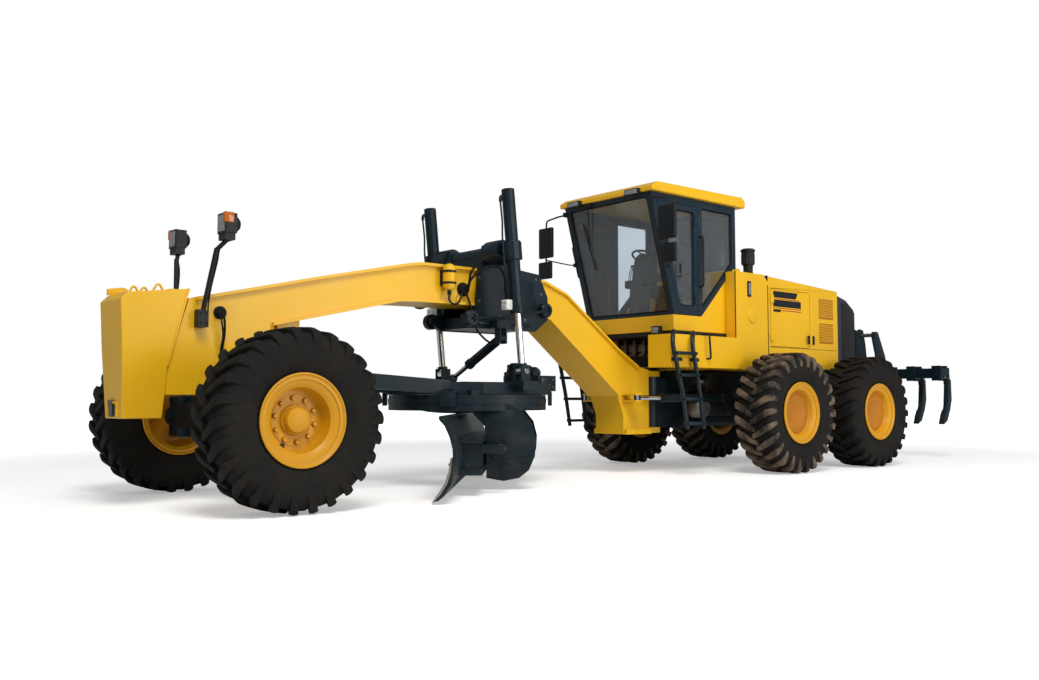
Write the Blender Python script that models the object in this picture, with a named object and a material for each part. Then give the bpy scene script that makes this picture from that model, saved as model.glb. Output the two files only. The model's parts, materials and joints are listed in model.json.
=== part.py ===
"""Motor grader: an articulated road grader with a tandem rear drive, a circle-hung blade and a rear ripper.

Metres, +X forward, +Y to the machine's left, +Z up. Every position along the machine is measured
from the middle of the tandem, and one empty carries the whole machine to the middle of its own box.
"""

import math

import bmesh
import bpy
from mathutils import Matrix, Vector

# ---- driving dimensions ----
TANDEM_FROM_MIDDLE = -2.54     # where the middle of the tandem stands from the middle of the machine
WHEELBASE = 7.65               # middle of the tandem to the front axle
TANDEM_SPACING = 1.84          # between the two rear axles of one side
REAR_TRACK = 2.66
FRONT_TRACK = 2.50
TYRE_RADIUS = 0.745
RIM_RADIUS = 0.378
HINGE_X = 2.00                 # the upright pin between rear and front frame
SEAT_GAP = 0.0003              # between pieces that rest on each other
BEARING_GAP = 0.0005           # between a bearing face and what turns or slides on it
CLEAR = 0.005                  # between pieces that move past each other

FRONT_FRAME_HALF = 0.235       # half width of the frame's web box
FRONT_FLANGE_HALF = 0.27       # half width over its top and bottom plates
RAIL_INNER = 0.28              # rear frame rails, from the middle
RAIL_OUTER = 0.42
RAIL_BOTTOM = 1.04
RAIL_TOP = 1.28

KINGPIN_Y = 0.93

LIFT_Y = 0.70                  # lift cylinders, from the middle
TRUNNION = (4.85, 2.46)        # x and z where a lift cylinder swings in the saddle
LIFT_EYE = (4.72, 1.20)        # x and z of its lower eye on the drawbar
DRAWBAR_BALL = (7.05, 1.15)

CIRCLE_X = 4.90                # middle of the circle
CIRCLE_RADIUS = 0.85
CIRCLE_BORE = 0.66
CIRCLE_TOP = 0.93
CIRCLE_BOTTOM = 0.85
BLADE_ANGLE = math.radians(42)  # the left end stands forward by this much
BLADE_LENGTH = 4.27
ARM_Y = 0.70                   # the circle's arms, along the blade from its middle

CAB_HALF = 0.74
CAB_WALL = 0.05
CAB_REAR = 1.12
CAB_FLOOR_TOP = 1.935
CAB_TOP = 3.385
PILLAR_FOOT = (2.335, CAB_FLOOR_TOP)    # front face of the front pillars, bottom and top
PILLAR_HEAD = (2.745, CAB_TOP)
MIDDLE_PILLAR = (1.80, 1.885)
GLASS = 0.008

BODY_HALF = 0.90               # half width of tanks and hood
TANK_FRONT = 1.34
TANK_REAR = 0.66
HOOD_REAR = -1.00

RIPPER_PIVOT = (-2.25, 0.95)
RIPPER_EYE = (-3.06, 1.94)
RIPPER_BASE = (-2.19, 1.29)
RIPPER_BEAM_X = -3.30
SHANK_SPACING = 0.407

REAR_AXLES = (TANDEM_SPACING / 2, -TANDEM_SPACING / 2)


# ---- shapes: each is a list of points and a list of faces ----
def slab(outline, low, high, axis):
    """An outline drawn in the two other axes, in their own order, given thickness along this axis."""
    def put(a, b, c):
        point = [a, b]
        point.insert("xyz".index(axis), c)
        return tuple(point)
    count = len(outline)
    points = [put(a, b, low) for a, b in outline] + [put(a, b, high) for a, b in outline]
    faces = [tuple(range(count)), tuple(range(count, 2 * count))]
    for i in range(count):
        j = (i + 1) % count
        faces.append((i, j, count + j, count + i))
    return points, faces


def block(x0, x1, y0, y1, z0, z1):
    return slab([(x0, y0), (x1, y0), (x1, y1), (x0, y1)], z0, z1, "z")


def turned(profile, centre, axis, sides, closed=True):
    """A profile of (radius, distance along the axis) turned about a line through the centre."""
    axis = Vector(axis).normalized()
    across = axis.orthogonal().normalized()
    if abs(axis.y) > 0.99:
        across = Vector((0, 0, 1))
    if abs(axis.z) > 0.99:
        across = Vector((1, 0, 0))
    upward = axis.cross(across)
    centre = Vector(centre)
    points, rings = [], []
    for radius, along in profile:
        if radius < 1e-9:
            rings.append([len(points)] * sides)
            points.append(tuple(centre + axis * along))
            continue
        ring = []
        for i in range(sides):
            angle = 2 * math.pi * i / sides
            ring.append(len(points))
            outward = across * math.cos(angle) + upward * math.sin(angle)
            points.append(tuple(centre + axis * along + outward * radius))
        rings.append(ring)
    faces = []
    pairs = list(zip(rings, rings[1:]))
    if closed:
        pairs.append((rings[-1], rings[0]))
    for first, second in pairs:
        for i in range(sides):
            j = (i + 1) % sides
            corners = []
            for corner in (first[i], first[j], second[j], second[i]):
                if corner not in corners:
                    corners.append(corner)
            if len(corners) > 2:
                faces.append(tuple(corners))
    return points, faces


def bar(start, end, radius, sides=12):
    """A round bar between two points."""
    start, end = Vector(start), Vector(end)
    length = (end - start).length
    profile = [(0, 0), (radius, 0), (radius, length), (0, length)]
    return turned(profile, start, end - start, sides, closed=False)


def beam(start, end, width, height):
    """A box beam between two points: its width lies level."""
    start, end = Vector(start), Vector(end)
    along = (end - start).normalized()
    level = Vector((0, 0, 1)).cross(along).normalized()
    upward = along.cross(level)
    points = []
    for place in (start, end):
        for a, b in ((-1, -1), (1, -1), (1, 1), (-1, 1)):
            points.append(tuple(place + level * (a * width / 2) + upward * (b * height / 2)))
    faces = [(0, 1, 2, 3), (4, 5, 6, 7), (0, 1, 5, 4), (1, 2, 6, 5), (2, 3, 7, 6), (3, 0, 4, 7)]
    return points, faces


def arc(centre, radius, first, last, steps):
    """Points of an arc, with angles in degrees."""
    found = []
    for i in range(steps + 1):
        angle = math.radians(first + (last - first) * i / steps)
        found.append((centre[0] + radius * math.cos(angle), centre[1] + radius * math.sin(angle)))
    return found


def flipped(shapes):
    """The same shapes on the machine's other side."""
    return [([(x, -y, z) for x, y, z in points], faces) for points, faces in shapes]


def on_both(shapes):
    return shapes + flipped(shapes)


def moved(shape, matrix):
    points, faces = shape
    return [tuple(matrix @ Vector(point)) for point in points], faces


# ---- objects ----
def material(name, colour, roughness, metallic=0.0):
    made = bpy.data.materials.new(name)
    made.use_nodes = True
    shader = made.node_tree.nodes["Principled BSDF"]
    shader.inputs["Base Color"].default_value = (*colour, 1)
    shader.inputs["Roughness"].default_value = roughness
    shader.inputs["Metallic"].default_value = metallic
    return made


def mesh_of(shape):
    points, faces = shape
    mesh = bpy.data.meshes.new("shape")
    mesh.from_pydata(points, [], faces)
    work = bmesh.new()
    work.from_mesh(mesh)
    bmesh.ops.recalc_face_normals(work, faces=work.faces)
    work.to_mesh(mesh)
    work.free()
    return mesh


def combined(shapes, cuts):
    """One mesh: the first shape with the others joined on and the cuts taken away."""
    main = bpy.data.objects.new("main", mesh_of(shapes[0]))
    bpy.context.scene.collection.objects.link(main)
    helpers = [main]
    for operation, group in (("UNION", shapes[1:]), ("DIFFERENCE", cuts)):
        if not group:
            continue
        helper_set = bpy.data.collections.new(operation)
        for shape in group:
            helper = bpy.data.objects.new("helper", mesh_of(shape))
            helper_set.objects.link(helper)
            helpers.append(helper)
        modifier = main.modifiers.new(operation, "BOOLEAN")
        modifier.operation = operation
        modifier.operand_type = "COLLECTION"
        modifier.collection = helper_set
        modifier.solver = "EXACT"
    bpy.context.view_layer.update()
    graph = bpy.context.evaluated_depsgraph_get()
    mesh = bpy.data.meshes.new_from_object(main.evaluated_get(graph))
    for helper in helpers:
        bpy.data.objects.remove(helper)
    for helper_set in list(bpy.data.collections):
        if helper_set.name.startswith(("UNION", "DIFFERENCE")):
            bpy.data.collections.remove(helper_set)
    return mesh


def node(name, shapes, paint, cuts=(), origin=(0, 0, 0)):
    """One named part of the machine, with its origin where it turns."""
    if len(shapes) == 1 and not cuts:
        mesh = mesh_of(shapes[0])
    else:
        mesh = combined(shapes, list(cuts))
    mesh.name = name
    mesh.transform(Matrix.Translation(-Vector(origin)))
    mesh.materials.clear()
    mesh.materials.append(paint)
    made = bpy.data.objects.new(name, mesh)
    bpy.context.scene.collection.objects.link(made)
    made.location = origin
    made.parent = machine
    return made


def sides_of(name, shapes, paint, cuts=(), origin=(0, 0, 0)):
    """A left piece and its mirror image on the right."""
    node(name + "_left", shapes, paint, cuts, origin)
    across = (origin[0], -origin[1], origin[2])
    node(name + "_right", flipped(shapes), paint, flipped(list(cuts)), across)


for old in list(bpy.data.objects):
    bpy.data.objects.remove(old)

machine = bpy.data.objects.new("machine", None)
bpy.context.scene.collection.objects.link(machine)
machine.location = (TANDEM_FROM_MIDDLE, 0, 0)

yellow = material("yellow_paint", (0.80, 0.46, 0.03), 0.4)
dark = material("dark_paint", (0.02, 0.045, 0.06), 0.5)
rubber = material("tyre_rubber", (0.02, 0.02, 0.02), 0.85)
rim_paint = material("rim_yellow", (0.82, 0.45, 0.03), 0.45)
chrome = material("rod_chrome", (0.75, 0.75, 0.76), 0.15, 1.0)
glass = material("window_glass", (0.55, 0.65, 0.68), 0.05)
trim = material("cab_trim", (0.05, 0.05, 0.055), 0.8)
grey = material("grey_paint", (0.12, 0.13, 0.14), 0.5)


# ---- wheels ----
TYRE_PROFILE = [  # radius and distance from the wheel's middle, outside first, then the hollow inside
    (0.3253, -0.204), (0.388, -0.204), (0.450, -0.243), (0.580, -0.260), (0.710, -0.235),
    (0.745, -0.160), (0.745, 0.160), (0.710, 0.235), (0.580, 0.260), (0.450, 0.243),
    (0.388, 0.204), (0.3253, 0.204), (0.3253, 0.160), (0.580, 0.205), (0.690, 0.140),
    (0.690, -0.140), (0.580, -0.205), (0.3253, -0.160),
]
RIM_BARREL = 0.325
RIM_WALL = 0.018
FLANGE_OUT = 0.228
FLANGE_IN = 0.2043
HUB_RADIUS = 0.15
HUB_DEPTH = 0.10
WHEEL_SIDES = 24


def rim_profile(disc):
    """The rim's section from the hub's outer face round the flanges to its inner face."""
    inside = RIM_BARREL - RIM_WALL
    return [
        (0, disc + 0.02), (inside - 0.02, disc + 0.02), (inside, 0.19), (RIM_RADIUS, FLANGE_OUT),
        (RIM_RADIUS, FLANGE_IN), (RIM_BARREL, FLANGE_IN), (RIM_BARREL, -FLANGE_IN),
        (RIM_RADIUS, -FLANGE_IN), (RIM_RADIUS, -FLANGE_OUT), (inside, -0.19), (inside, disc - 0.02),
        (HUB_RADIUS, disc), (HUB_RADIUS, -HUB_DEPTH), (0, -HUB_DEPTH),
    ]


def wheel(name, x, y, disc):
    """A tyre on its rim; the outer face of the wheel looks away from the machine."""
    centre = (x, y, TYRE_RADIUS)
    outward = (0, math.copysign(1, y), 0)
    node("tyre_" + name, [turned(TYRE_PROFILE, centre, outward, WHEEL_SIDES)], rubber, origin=centre)
    node("rim_" + name, [turned(rim_profile(disc), centre, outward, WHEEL_SIDES, closed=False)], rim_paint, origin=centre)


for side, sign in (("left", 1), ("right", -1)):
    wheel("front_" + side, WHEELBASE, sign * FRONT_TRACK / 2, disc=0.05)
    wheel("middle_" + side, REAR_AXLES[0], sign * REAR_TRACK / 2, disc=0.02)
    wheel("rear_" + side, REAR_AXLES[1], sign * REAR_TRACK / 2, disc=0.02)


# ---- rear frame with tandem cases ----
HINGE_RADIUS = 0.16
HINGE_LOW, HINGE_HIGH = 0.560, 1.195
HINGE_PIN_RADIUS = 0.05
AXLE_HOUSING_RADIUS = 0.17
TANDEM_INNER, TANDEM_OUTER = 0.80, 1.02
ARTIC_BASE = (1.25, 0.60, 0.93)
ARTIC_EYE = (2.66, 0.42, 0.93)
EYE_HALF = 0.03                # half the thickness of a cylinder's eye
LIFT_EYE_HALF = 0.045          # the same for a lift cylinder
LUG = 0.02                     # thickness of the lugs either side of it


def upright_lugs(x, y, inner_y, z, reach=0.06):
    """Two level lugs that hold an eye whose pin stands upright."""
    found = []
    for low in (z + EYE_HALF + BEARING_GAP, z - EYE_HALF - BEARING_GAP - LUG):
        found.append(slab([(x - reach, inner_y), (x + reach, inner_y), (x + reach, y + 0.03),
                           (x + reach / 2, y + 0.06), (x - reach / 2, y + 0.06), (x - reach, y + 0.03)],
                          low, low + LUG, "z"))
    return found


frame_shapes = on_both([
    block(-2.10, 1.72, RAIL_INNER, RAIL_OUTER, RAIL_BOTTOM, RAIL_TOP),
    block(-0.24, 0.24, 0.24, 0.46, 0.66, 1.10),
    block(1.14, 1.32, RAIL_INNER + 0.03, 0.47, 0.868, 1.10),
    block(-2.30, -1.98, 0.30, 0.36, 0.86, 1.20),
])
frame_shapes += upright_lugs(ARTIC_BASE[0], ARTIC_BASE[1], 0.44, ARTIC_BASE[2])
frame_shapes += flipped(upright_lugs(ARTIC_BASE[0], ARTIC_BASE[1], 0.44, ARTIC_BASE[2]))
frame_shapes += [
    block(1.50, 1.79, -RAIL_OUTER, RAIL_OUTER, RAIL_BOTTOM - 0.01, RAIL_TOP - 0.01),
    block(1.53, 1.98, -0.15, 0.15, HINGE_LOW + 0.01, HINGE_HIGH - 0.01),
    turned([(0, HINGE_LOW), (HINGE_RADIUS, HINGE_LOW), (HINGE_RADIUS, HINGE_HIGH), (0, HINGE_HIGH)],
           (HINGE_X, 0, 0), (0, 0, 1), 24, closed=False),
    bar((HINGE_X, 0, 0.46), (HINGE_X, 0, 1.30), HINGE_PIN_RADIUS, 12),
    bar((HINGE_X, 0, 1.275), (HINGE_X, 0, 1.305), 0.075, 12),
    bar((0, -TANDEM_INNER + SEAT_GAP, TYRE_RADIUS), (0, TANDEM_INNER - SEAT_GAP, TYRE_RADIUS),
        AXLE_HOUSING_RADIUS, 24),
    block(-0.75, -0.60, -RAIL_INNER - 0.02, RAIL_INNER + 0.02, 1.06, 1.20),
    block(-2.12, -1.94, -0.46, 0.46, 0.88, 1.34),
    block(-2.25, -2.02, -0.12, -0.05 - BEARING_GAP, 1.20, 1.35),
    block(-2.25, -2.02, 0.05 + BEARING_GAP, 0.12, 1.20, 1.35),
]
node("rear_frame", frame_shapes, dark)

case_outline = (arc((REAR_AXLES[0], TYRE_RADIUS), 0.235, -90, 90, 6)
                + arc((REAR_AXLES[1], TYRE_RADIUS), 0.235, 90, 270, 6))
case_shapes = [slab(case_outline, TANDEM_INNER, TANDEM_OUTER, "y")]
for axle in REAR_AXLES:
    hub_end = REAR_TRACK / 2 - HUB_DEPTH - BEARING_GAP
    case_shapes.append(bar((axle, 1.0, TYRE_RADIUS), (axle, hub_end, TYRE_RADIUS), 0.12, 12))
sides_of("tandem_case", case_shapes, dark)


# ---- tanks, hood and engine ----


def tank_outline(front):
    return [(front, RAIL_TOP + SEAT_GAP), (front, 2.53), (TANK_REAR + 0.09, 2.53), (TANK_REAR, 2.45),
            (TANK_REAR, RAIL_TOP + SEAT_GAP)]


SIDE_BOX_INNER = 0.57          # clear of the front frame when the machine is folded to its stop
tank_shapes = [slab(tank_outline(CAB_REAR - CLEAR), -CAB_HALF - 0.01, CAB_HALF + 0.01, "y")]
tank_shapes += on_both([
    slab(tank_outline(TANK_FRONT), CAB_HALF + CLEAR, BODY_HALF, "y"),
    block(1.25, 2.62, SIDE_BOX_INNER, 0.93, 1.29, 1.68),
])
node("tank_module", tank_shapes, yellow)

HOOD_FRONT = TANK_REAR - SEAT_GAP
HOOD_BOTTOM = 1.32
HOOD_WALL = 0.03
DOOR_X = (-0.28, 0.60)
DOOR_Z = (1.60, 2.36)
hood_outline = [(HOOD_REAR, HOOD_BOTTOM), (HOOD_FRONT, HOOD_BOTTOM), (HOOD_FRONT, 2.52), (HOOD_REAR, 2.43)]
hood_inside = [(HOOD_REAR - 0.1, HOOD_BOTTOM - 0.1), (HOOD_FRONT - 0.03, HOOD_BOTTOM - 0.1),
               (HOOD_FRONT - 0.03, 2.49), (HOOD_REAR - 0.1, 2.40)]
door_hole = block(DOOR_X[0], DOOR_X[1], -1.2, 1.2, DOOR_Z[0], DOOR_Z[1])
node("engine_hood", [slab(hood_outline, -BODY_HALF, BODY_HALF, "y")], yellow,
     cuts=[slab(hood_inside, -BODY_HALF + HOOD_WALL, BODY_HALF - HOOD_WALL, "y"), door_hole])
HINGE_BARREL = 0.012


HINGE_BACK = 0.010             # the hinge's axis lies this far over the fixed panel, from its edge


def hinge_barrel(edge, face, low, high, way):
    """A hinge over the edge of a fixed panel, with the strap that carries a leaf lying that way from it."""
    axis = edge - way * HINGE_BACK
    middle = face + HINGE_BARREL + BEARING_GAP
    strap = sorted((axis, edge + way * 0.06))
    foot = sorted((edge + way * 0.008, edge + way * 0.055))
    return [
        bar((axis, middle, low), (axis, middle, high), HINGE_BARREL, 12),
        block(strap[0], strap[1], face + BEARING_GAP, middle, low, high),
        block(foot[0], foot[1], face - 0.01, middle - 0.004, low + 0.004, high - 0.004),
    ]


hood_leaf_edge = DOOR_X[1] - CLEAR
hood_door = [block(DOOR_X[0] + CLEAR, hood_leaf_edge, BODY_HALF - HOOD_WALL, BODY_HALF,
                   DOOR_Z[0] + CLEAR, DOOR_Z[1] - CLEAR)]
for low in (DOOR_Z[0] + 0.08, DOOR_Z[1] - 0.18):
    hood_door += hinge_barrel(DOOR_X[1], BODY_HALF, low, low + 0.10, -1)
sides_of("hood_door", hood_door, yellow, origin=(DOOR_X[1] + HINGE_BACK, BODY_HALF + HINGE_BARREL + BEARING_GAP, 1.98))
node("engine_block", [block(-0.85, 0.45, -0.26, 0.26, 1.20 + SEAT_GAP, 2.05)], grey)

cowl_front = HOOD_REAR - SEAT_GAP
cowl_outline = [(cowl_front, 1.36), (cowl_front, 2.42), (-1.33, 2.34), (-1.55, 2.20), (-1.55, 1.42), (-1.45, 1.36)]
node("radiator_cowl", [slab(cowl_outline, -0.84, 0.84, "y")], grey,
     cuts=[block(-1.60, -1.48, -0.70, 0.70, 1.50, 2.12)])
node("exhaust_stack", [bar((0.42, 0.42, 2.53), (0.42, 0.42, 2.86), 0.065, 12),
                       bar((0.42, 0.42, 2.512), (0.42, 0.42, 2.56), 0.09, 12)], dark)


# ---- cab ----
def pillar_x(z, back=0.0):
    """Where the leaning front face of the cab stands at this height."""
    share = (z - PILLAR_FOOT[1]) / (PILLAR_HEAD[1] - PILLAR_FOOT[1])
    return PILLAR_FOOT[0] + share * (PILLAR_HEAD[0] - PILLAR_FOOT[0]) - back


SKIRT_TOP = 2.58
base_shapes = [block(CAB_REAR, PILLAR_FOOT[0] + 0.01, -CAB_HALF, CAB_HALF, 1.74, CAB_FLOOR_TOP - SEAT_GAP)]
base_shapes += on_both([
    slab([(1.82, CAB_FLOOR_TOP - 0.02), (1.82, CAB_FLOOR_TOP - SEAT_GAP), (1.17, SKIRT_TOP),
          (CAB_REAR, SKIRT_TOP), (CAB_REAR, CAB_FLOOR_TOP - 0.02)], CAB_HALF - CAB_WALL, CAB_HALF, "y"),
])
base_shapes += [block(CAB_REAR, CAB_REAR + CAB_WALL, -CAB_HALF + 0.01, CAB_HALF - 0.01, 1.90, SKIRT_TOP)]
base_shapes += [block(1.12, 1.90, -0.44, 0.44, RAIL_TOP + SEAT_GAP, 1.75)]
node("cab_base", base_shapes, yellow)

shell_low = CAB_FLOOR_TOP
shell_outline = [(PILLAR_FOOT[0], shell_low), PILLAR_HEAD, (CAB_REAR, CAB_TOP),
                 (CAB_REAR, SKIRT_TOP + SEAT_GAP), (1.1702, SKIRT_TOP + SEAT_GAP), (1.8204, shell_low)]
inner_outline = [(pillar_x(1.80, CAB_WALL), 1.80), (pillar_x(3.50, CAB_WALL), 3.50), (CAB_REAR + CAB_WALL, 3.50),
                 (CAB_REAR + CAB_WALL, 1.80)]
door_outline = [(pillar_x(1.88, 0.09), 1.88), (pillar_x(3.30, 0.09), 3.30), (MIDDLE_PILLAR[1], 3.30),
                (MIDDLE_PILLAR[1], 1.88)]
quarter_outline = [(MIDDLE_PILLAR[0], 3.29), (1.20, 3.29), (1.20, 2.64), (MIDDLE_PILLAR[0], 2.04)]


def screen_slab(low, high, half, front, back):
    """A slab that lies along the cab's leaning front face, between two depths behind it."""
    outline = [(pillar_x(low, front), low), (pillar_x(high, front), high),
               (pillar_x(high, back), high), (pillar_x(low, back), low)]
    return slab(outline, -half, half, "y")


def thinner(outline, by):
    """The outline drawn in by the same distance on each side; it goes round once, convex."""
    middle = (sum(p[0] for p in outline) / len(outline), sum(p[1] for p in outline) / len(outline))
    lines = []
    for (ax, az), (bx, bz) in zip(outline, outline[1:] + outline[:1]):
        normal = Vector((bz - az, ax - bx)).normalized()
        if normal.dot(Vector(middle) - Vector((ax, az))) < 0:
            normal = -normal
        lines.append((Vector((ax, az)) + normal * by, Vector((bx - ax, bz - az))))
    corners = []
    for (a, along_a), (b, along_b) in zip(lines[-1:] + lines[:-1], lines):
        share = (b - a).cross(along_b) / along_a.cross(along_b)
        corners.append(tuple(a + along_a * share))
    return corners


SCREEN = (1.97, 3.33, CAB_HALF - 0.08)
REAR_GLASS = (2.64, 3.30, CAB_HALF - 0.14)
shell_cuts = [
    slab(inner_outline, -CAB_HALF + CAB_WALL, CAB_HALF - CAB_WALL, "y"),
    screen_slab(SCREEN[0], SCREEN[1], SCREEN[2], -0.1, 0.15),
    slab(door_outline, -1, 1, "y"),
    slab(quarter_outline, -1, 1, "y"),
    block(1.0, 1.3, -REAR_GLASS[2], REAR_GLASS[2], REAR_GLASS[0], REAR_GLASS[1]),
]
node("cab_shell", [slab(shell_outline, -CAB_HALF, CAB_HALF, "y")], dark, cuts=shell_cuts)
node("windscreen", [screen_slab(SCREEN[0] + SEAT_GAP, SCREEN[1] - SEAT_GAP, SCREEN[2] - SEAT_GAP,
                                0.02, 0.02 + GLASS)], glass)
node("rear_window", [block(CAB_REAR + 0.02, CAB_REAR + 0.02 + GLASS, -REAR_GLASS[2] + SEAT_GAP,
                           REAR_GLASS[2] - SEAT_GAP, REAR_GLASS[0] + SEAT_GAP, REAR_GLASS[1] - SEAT_GAP)], glass)
sides_of("quarter_window", [slab(thinner(quarter_outline, SEAT_GAP), CAB_HALF - 0.03, CAB_HALF - 0.03 + GLASS, "y")],
         glass)

door_leaf = [(pillar_x(1.941, 0.096), 1.941), (pillar_x(3.294, 0.096), 3.294),
             (MIDDLE_PILLAR[1] + CLEAR, 3.294), (MIDDLE_PILLAR[1] + CLEAR, 1.941)]
door_light = [(pillar_x(2.05, 0.16), 2.05), (pillar_x(3.22, 0.16), 3.22),
              (MIDDLE_PILLAR[1] + 0.07, 3.22), (MIDDLE_PILLAR[1] + 0.07, 2.05)]
door_edge = MIDDLE_PILLAR[1] + CLEAR
door_hinge = (MIDDLE_PILLAR[1] - HINGE_BACK, CAB_HALF + HINGE_BARREL + BEARING_GAP, 2.6)
door_shapes = [slab(door_leaf, CAB_HALF - CAB_WALL, CAB_HALF, "y")]
for low in (2.08, 3.06):
    door_shapes += hinge_barrel(MIDDLE_PILLAR[1], CAB_HALF, low, low + 0.12, 1)
sides_of("cab_door", door_shapes, dark,
         cuts=[slab(door_light, 0.5, 1.0, "y")], origin=door_hinge)
sides_of("door_glass", [slab(thinner(door_light, SEAT_GAP), CAB_HALF - 0.03, CAB_HALF - 0.03 + GLASS, "y")],
         glass, origin=door_hinge)

roof_low = CAB_TOP + SEAT_GAP
roof_outline = [(0.98, roof_low), (2.78, roof_low), (2.78, roof_low + 0.055), (2.68, 3.50), (1.05, 3.52),
                (0.98, roof_low + 0.09)]
node("cab_roof", [slab(roof_outline, -0.80, 0.80, "y")], yellow)

floor_seat = CAB_FLOOR_TOP
node("operator_seat", [block(1.32, 1.80, -0.24, 0.24, floor_seat + 0.33, floor_seat + 0.45),
                       slab([(1.26, floor_seat + 0.38), (1.40, floor_seat + 0.38), (1.30, floor_seat + 1.02),
                             (1.20, floor_seat + 1.02)], -0.23, 0.23, "y"),
                       block(1.40, 1.70, -0.15, 0.15, floor_seat, floor_seat + 0.35)], trim)
node("control_console", [slab([(2.05, floor_seat), (2.25, floor_seat), (2.15, floor_seat + 0.70),
                               (2.02, floor_seat + 0.74)], -0.09, 0.09, "y"),
                         bar((1.98, 0, floor_seat + 0.70), (2.12, 0, floor_seat + 0.76), 0.10, 12)], trim)


# ---- articulation cylinders ----
def bored(start, direction, outer, bore, low, high, floor, sides):
    """A tube closed at its low end: the bore runs from the floor to the open high end."""
    profile = [(0, low), (outer, low), (outer, high), (bore, high), (bore, floor), (0, floor)]
    return turned(profile, start, direction, sides, closed=False)


ARTIC_BARREL = (0.055, 0.041)
ARTIC_ROD = 0.035
base, eye = Vector(ARTIC_BASE), Vector(ARTIC_EYE)
artic_way = (eye - base).normalized()
artic_length = (eye - base).length
barrel_shapes = [
    bar(base - Vector((0, 0, EYE_HALF)), base + Vector((0, 0, EYE_HALF)), 0.055, 10),
    bar(base, base + artic_way * 0.10, 0.028, 12),
    bored(base, artic_way, ARTIC_BARREL[0], ARTIC_BARREL[1], 0.075, 1.02, 0.12, 12),
]
sides_of("artic_barrel", barrel_shapes, dark, origin=ARTIC_BASE)
rod_shapes = [
    bar(eye - Vector((0, 0, EYE_HALF)), eye + Vector((0, 0, EYE_HALF)), 0.05, 10),
    bar(base + artic_way * 0.60, eye, ARTIC_ROD - 0.006, 12),
]
sides_of("artic_rod", rod_shapes, chrome, origin=ARTIC_EYE)


# ---- front frame ----
FRAME_TOP = [(WHEELBASE + 0.448, 1.78), (6.76, 2.09), (5.83, 2.29), (5.68, 2.31), (4.66, 2.31), (3.99, 2.25), (3.66, 2.13),
             (2.80, 1.52), (2.45, 1.32), (2.24, 1.275)]
FRAME_BOTTOM = [(2.24, 0.49), (2.70, 0.49), (2.70, 0.72), (2.80, 0.95), (3.91, 1.80), (4.10, 1.88), (4.82, 1.91),
                (5.73, 1.90), (5.95, 1.89), (6.75, 1.71), (WHEELBASE - 0.33, 1.58), (WHEELBASE - 0.29, 1.05),
                (WHEELBASE + 0.30, 1.05), (WHEELBASE + 0.33, 0.95), (WHEELBASE + 0.634, 0.95),
                (WHEELBASE + 0.6195, 1.20)]
FRAME_BEND = Vector(FRAME_BOTTOM[10])      # the last bend of the frame's underside before the front axle
FLANGE_END = tuple(FRAME_BEND.lerp(Vector(FRAME_BOTTOM[11]), 0.96))


def flange(points, thickness, inward):
    """A plate that follows the frame's edge."""
    inner = [(x, z + inward * thickness) for x, z in points]
    return slab(points + inner[::-1], -FRONT_FLANGE_HALF, FRONT_FLANGE_HALF, "y")


HINGE_LUG = 0.155
frame_shapes = [
    slab(FRAME_TOP + FRAME_BOTTOM, -FRONT_FRAME_HALF, FRONT_FRAME_HALF, "y"),
    flange([(WHEELBASE + 0.39, 1.795)] + FRAME_TOP[1:9], 0.03, -1),
    flange(FRAME_BOTTOM[3:11] + [FLANGE_END], 0.03, 1),
    block(2.25, 2.69, -0.28, 0.28, 0.485, 0.545),
]
for low, high in ((HINGE_HIGH + BEARING_GAP, 1.265), (0.49, HINGE_LOW - BEARING_GAP)):
    lug = arc((HINGE_X, 0), HINGE_LUG, 90, 270, 10) + [(2.30, -0.24), (2.30, 0.24)]
    frame_shapes.append(slab(lug, low, high, "z"))
lugs = upright_lugs(ARTIC_EYE[0], ARTIC_EYE[1], 0.22, ARTIC_EYE[2])
frame_shapes += on_both(lugs)
frame_shapes += on_both([
    block(DRAWBAR_BALL[0] - 0.075, DRAWBAR_BALL[0] + 0.15, 0.0555, 0.10, 1.07, 1.70),
])
node("front_frame", frame_shapes, yellow,
     cuts=[bar((HINGE_X, 0, 0.3), (HINGE_X, 0, 1.5), HINGE_PIN_RADIUS + 0.002, 12)])

block_outline = [(WHEELBASE + 0.65, 0.75), (WHEELBASE + 0.98, 0.75), (WHEELBASE + 1.03, 1.74),
                 (WHEELBASE + 0.97, 1.80), (WHEELBASE + 0.45, 1.86), (WHEELBASE + 0.6205, 1.20),
                 (WHEELBASE + 0.635, 0.95)]
BLOCK_HALF = 0.26              # half the push block's width above the fold of its sides
BLOCK_FOLD = 1.335             # below this height its sides lean in
block_lean = [(BLOCK_HALF, BLOCK_FOLD), (0.21, 0.75), (0.20, 0.65), (0.40, 0.65), (0.40, BLOCK_FOLD)]
node("front_block", [slab(block_outline, -BLOCK_HALF, BLOCK_HALF, "y")], yellow,
     cuts=on_both([slab(block_lean, WHEELBASE + 0.35, WHEELBASE + 1.35, "x")]))

lamp_shapes = [
    block(WHEELBASE + 0.31, WHEELBASE + 0.40, FRONT_FRAME_HALF + SEAT_GAP, 0.33, 1.53, 1.68),
    bar((WHEELBASE + 0.355, 0.30, 1.64), (WHEELBASE + 0.30, 0.45, 2.20), 0.022, 12),
    bar((WHEELBASE + 0.30, 0.447, 2.19), (WHEELBASE + 0.25, 0.545, 2.27), 0.02, 12),
    block(WHEELBASE + 0.21, WHEELBASE + 0.30, 0.48, 0.62, 2.262, 2.33),
    block(WHEELBASE + 0.20, WHEELBASE + 0.30, 0.47, 0.63, 2.32, 2.49),
]
sides_of("lamp_post", lamp_shapes, dark)

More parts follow.
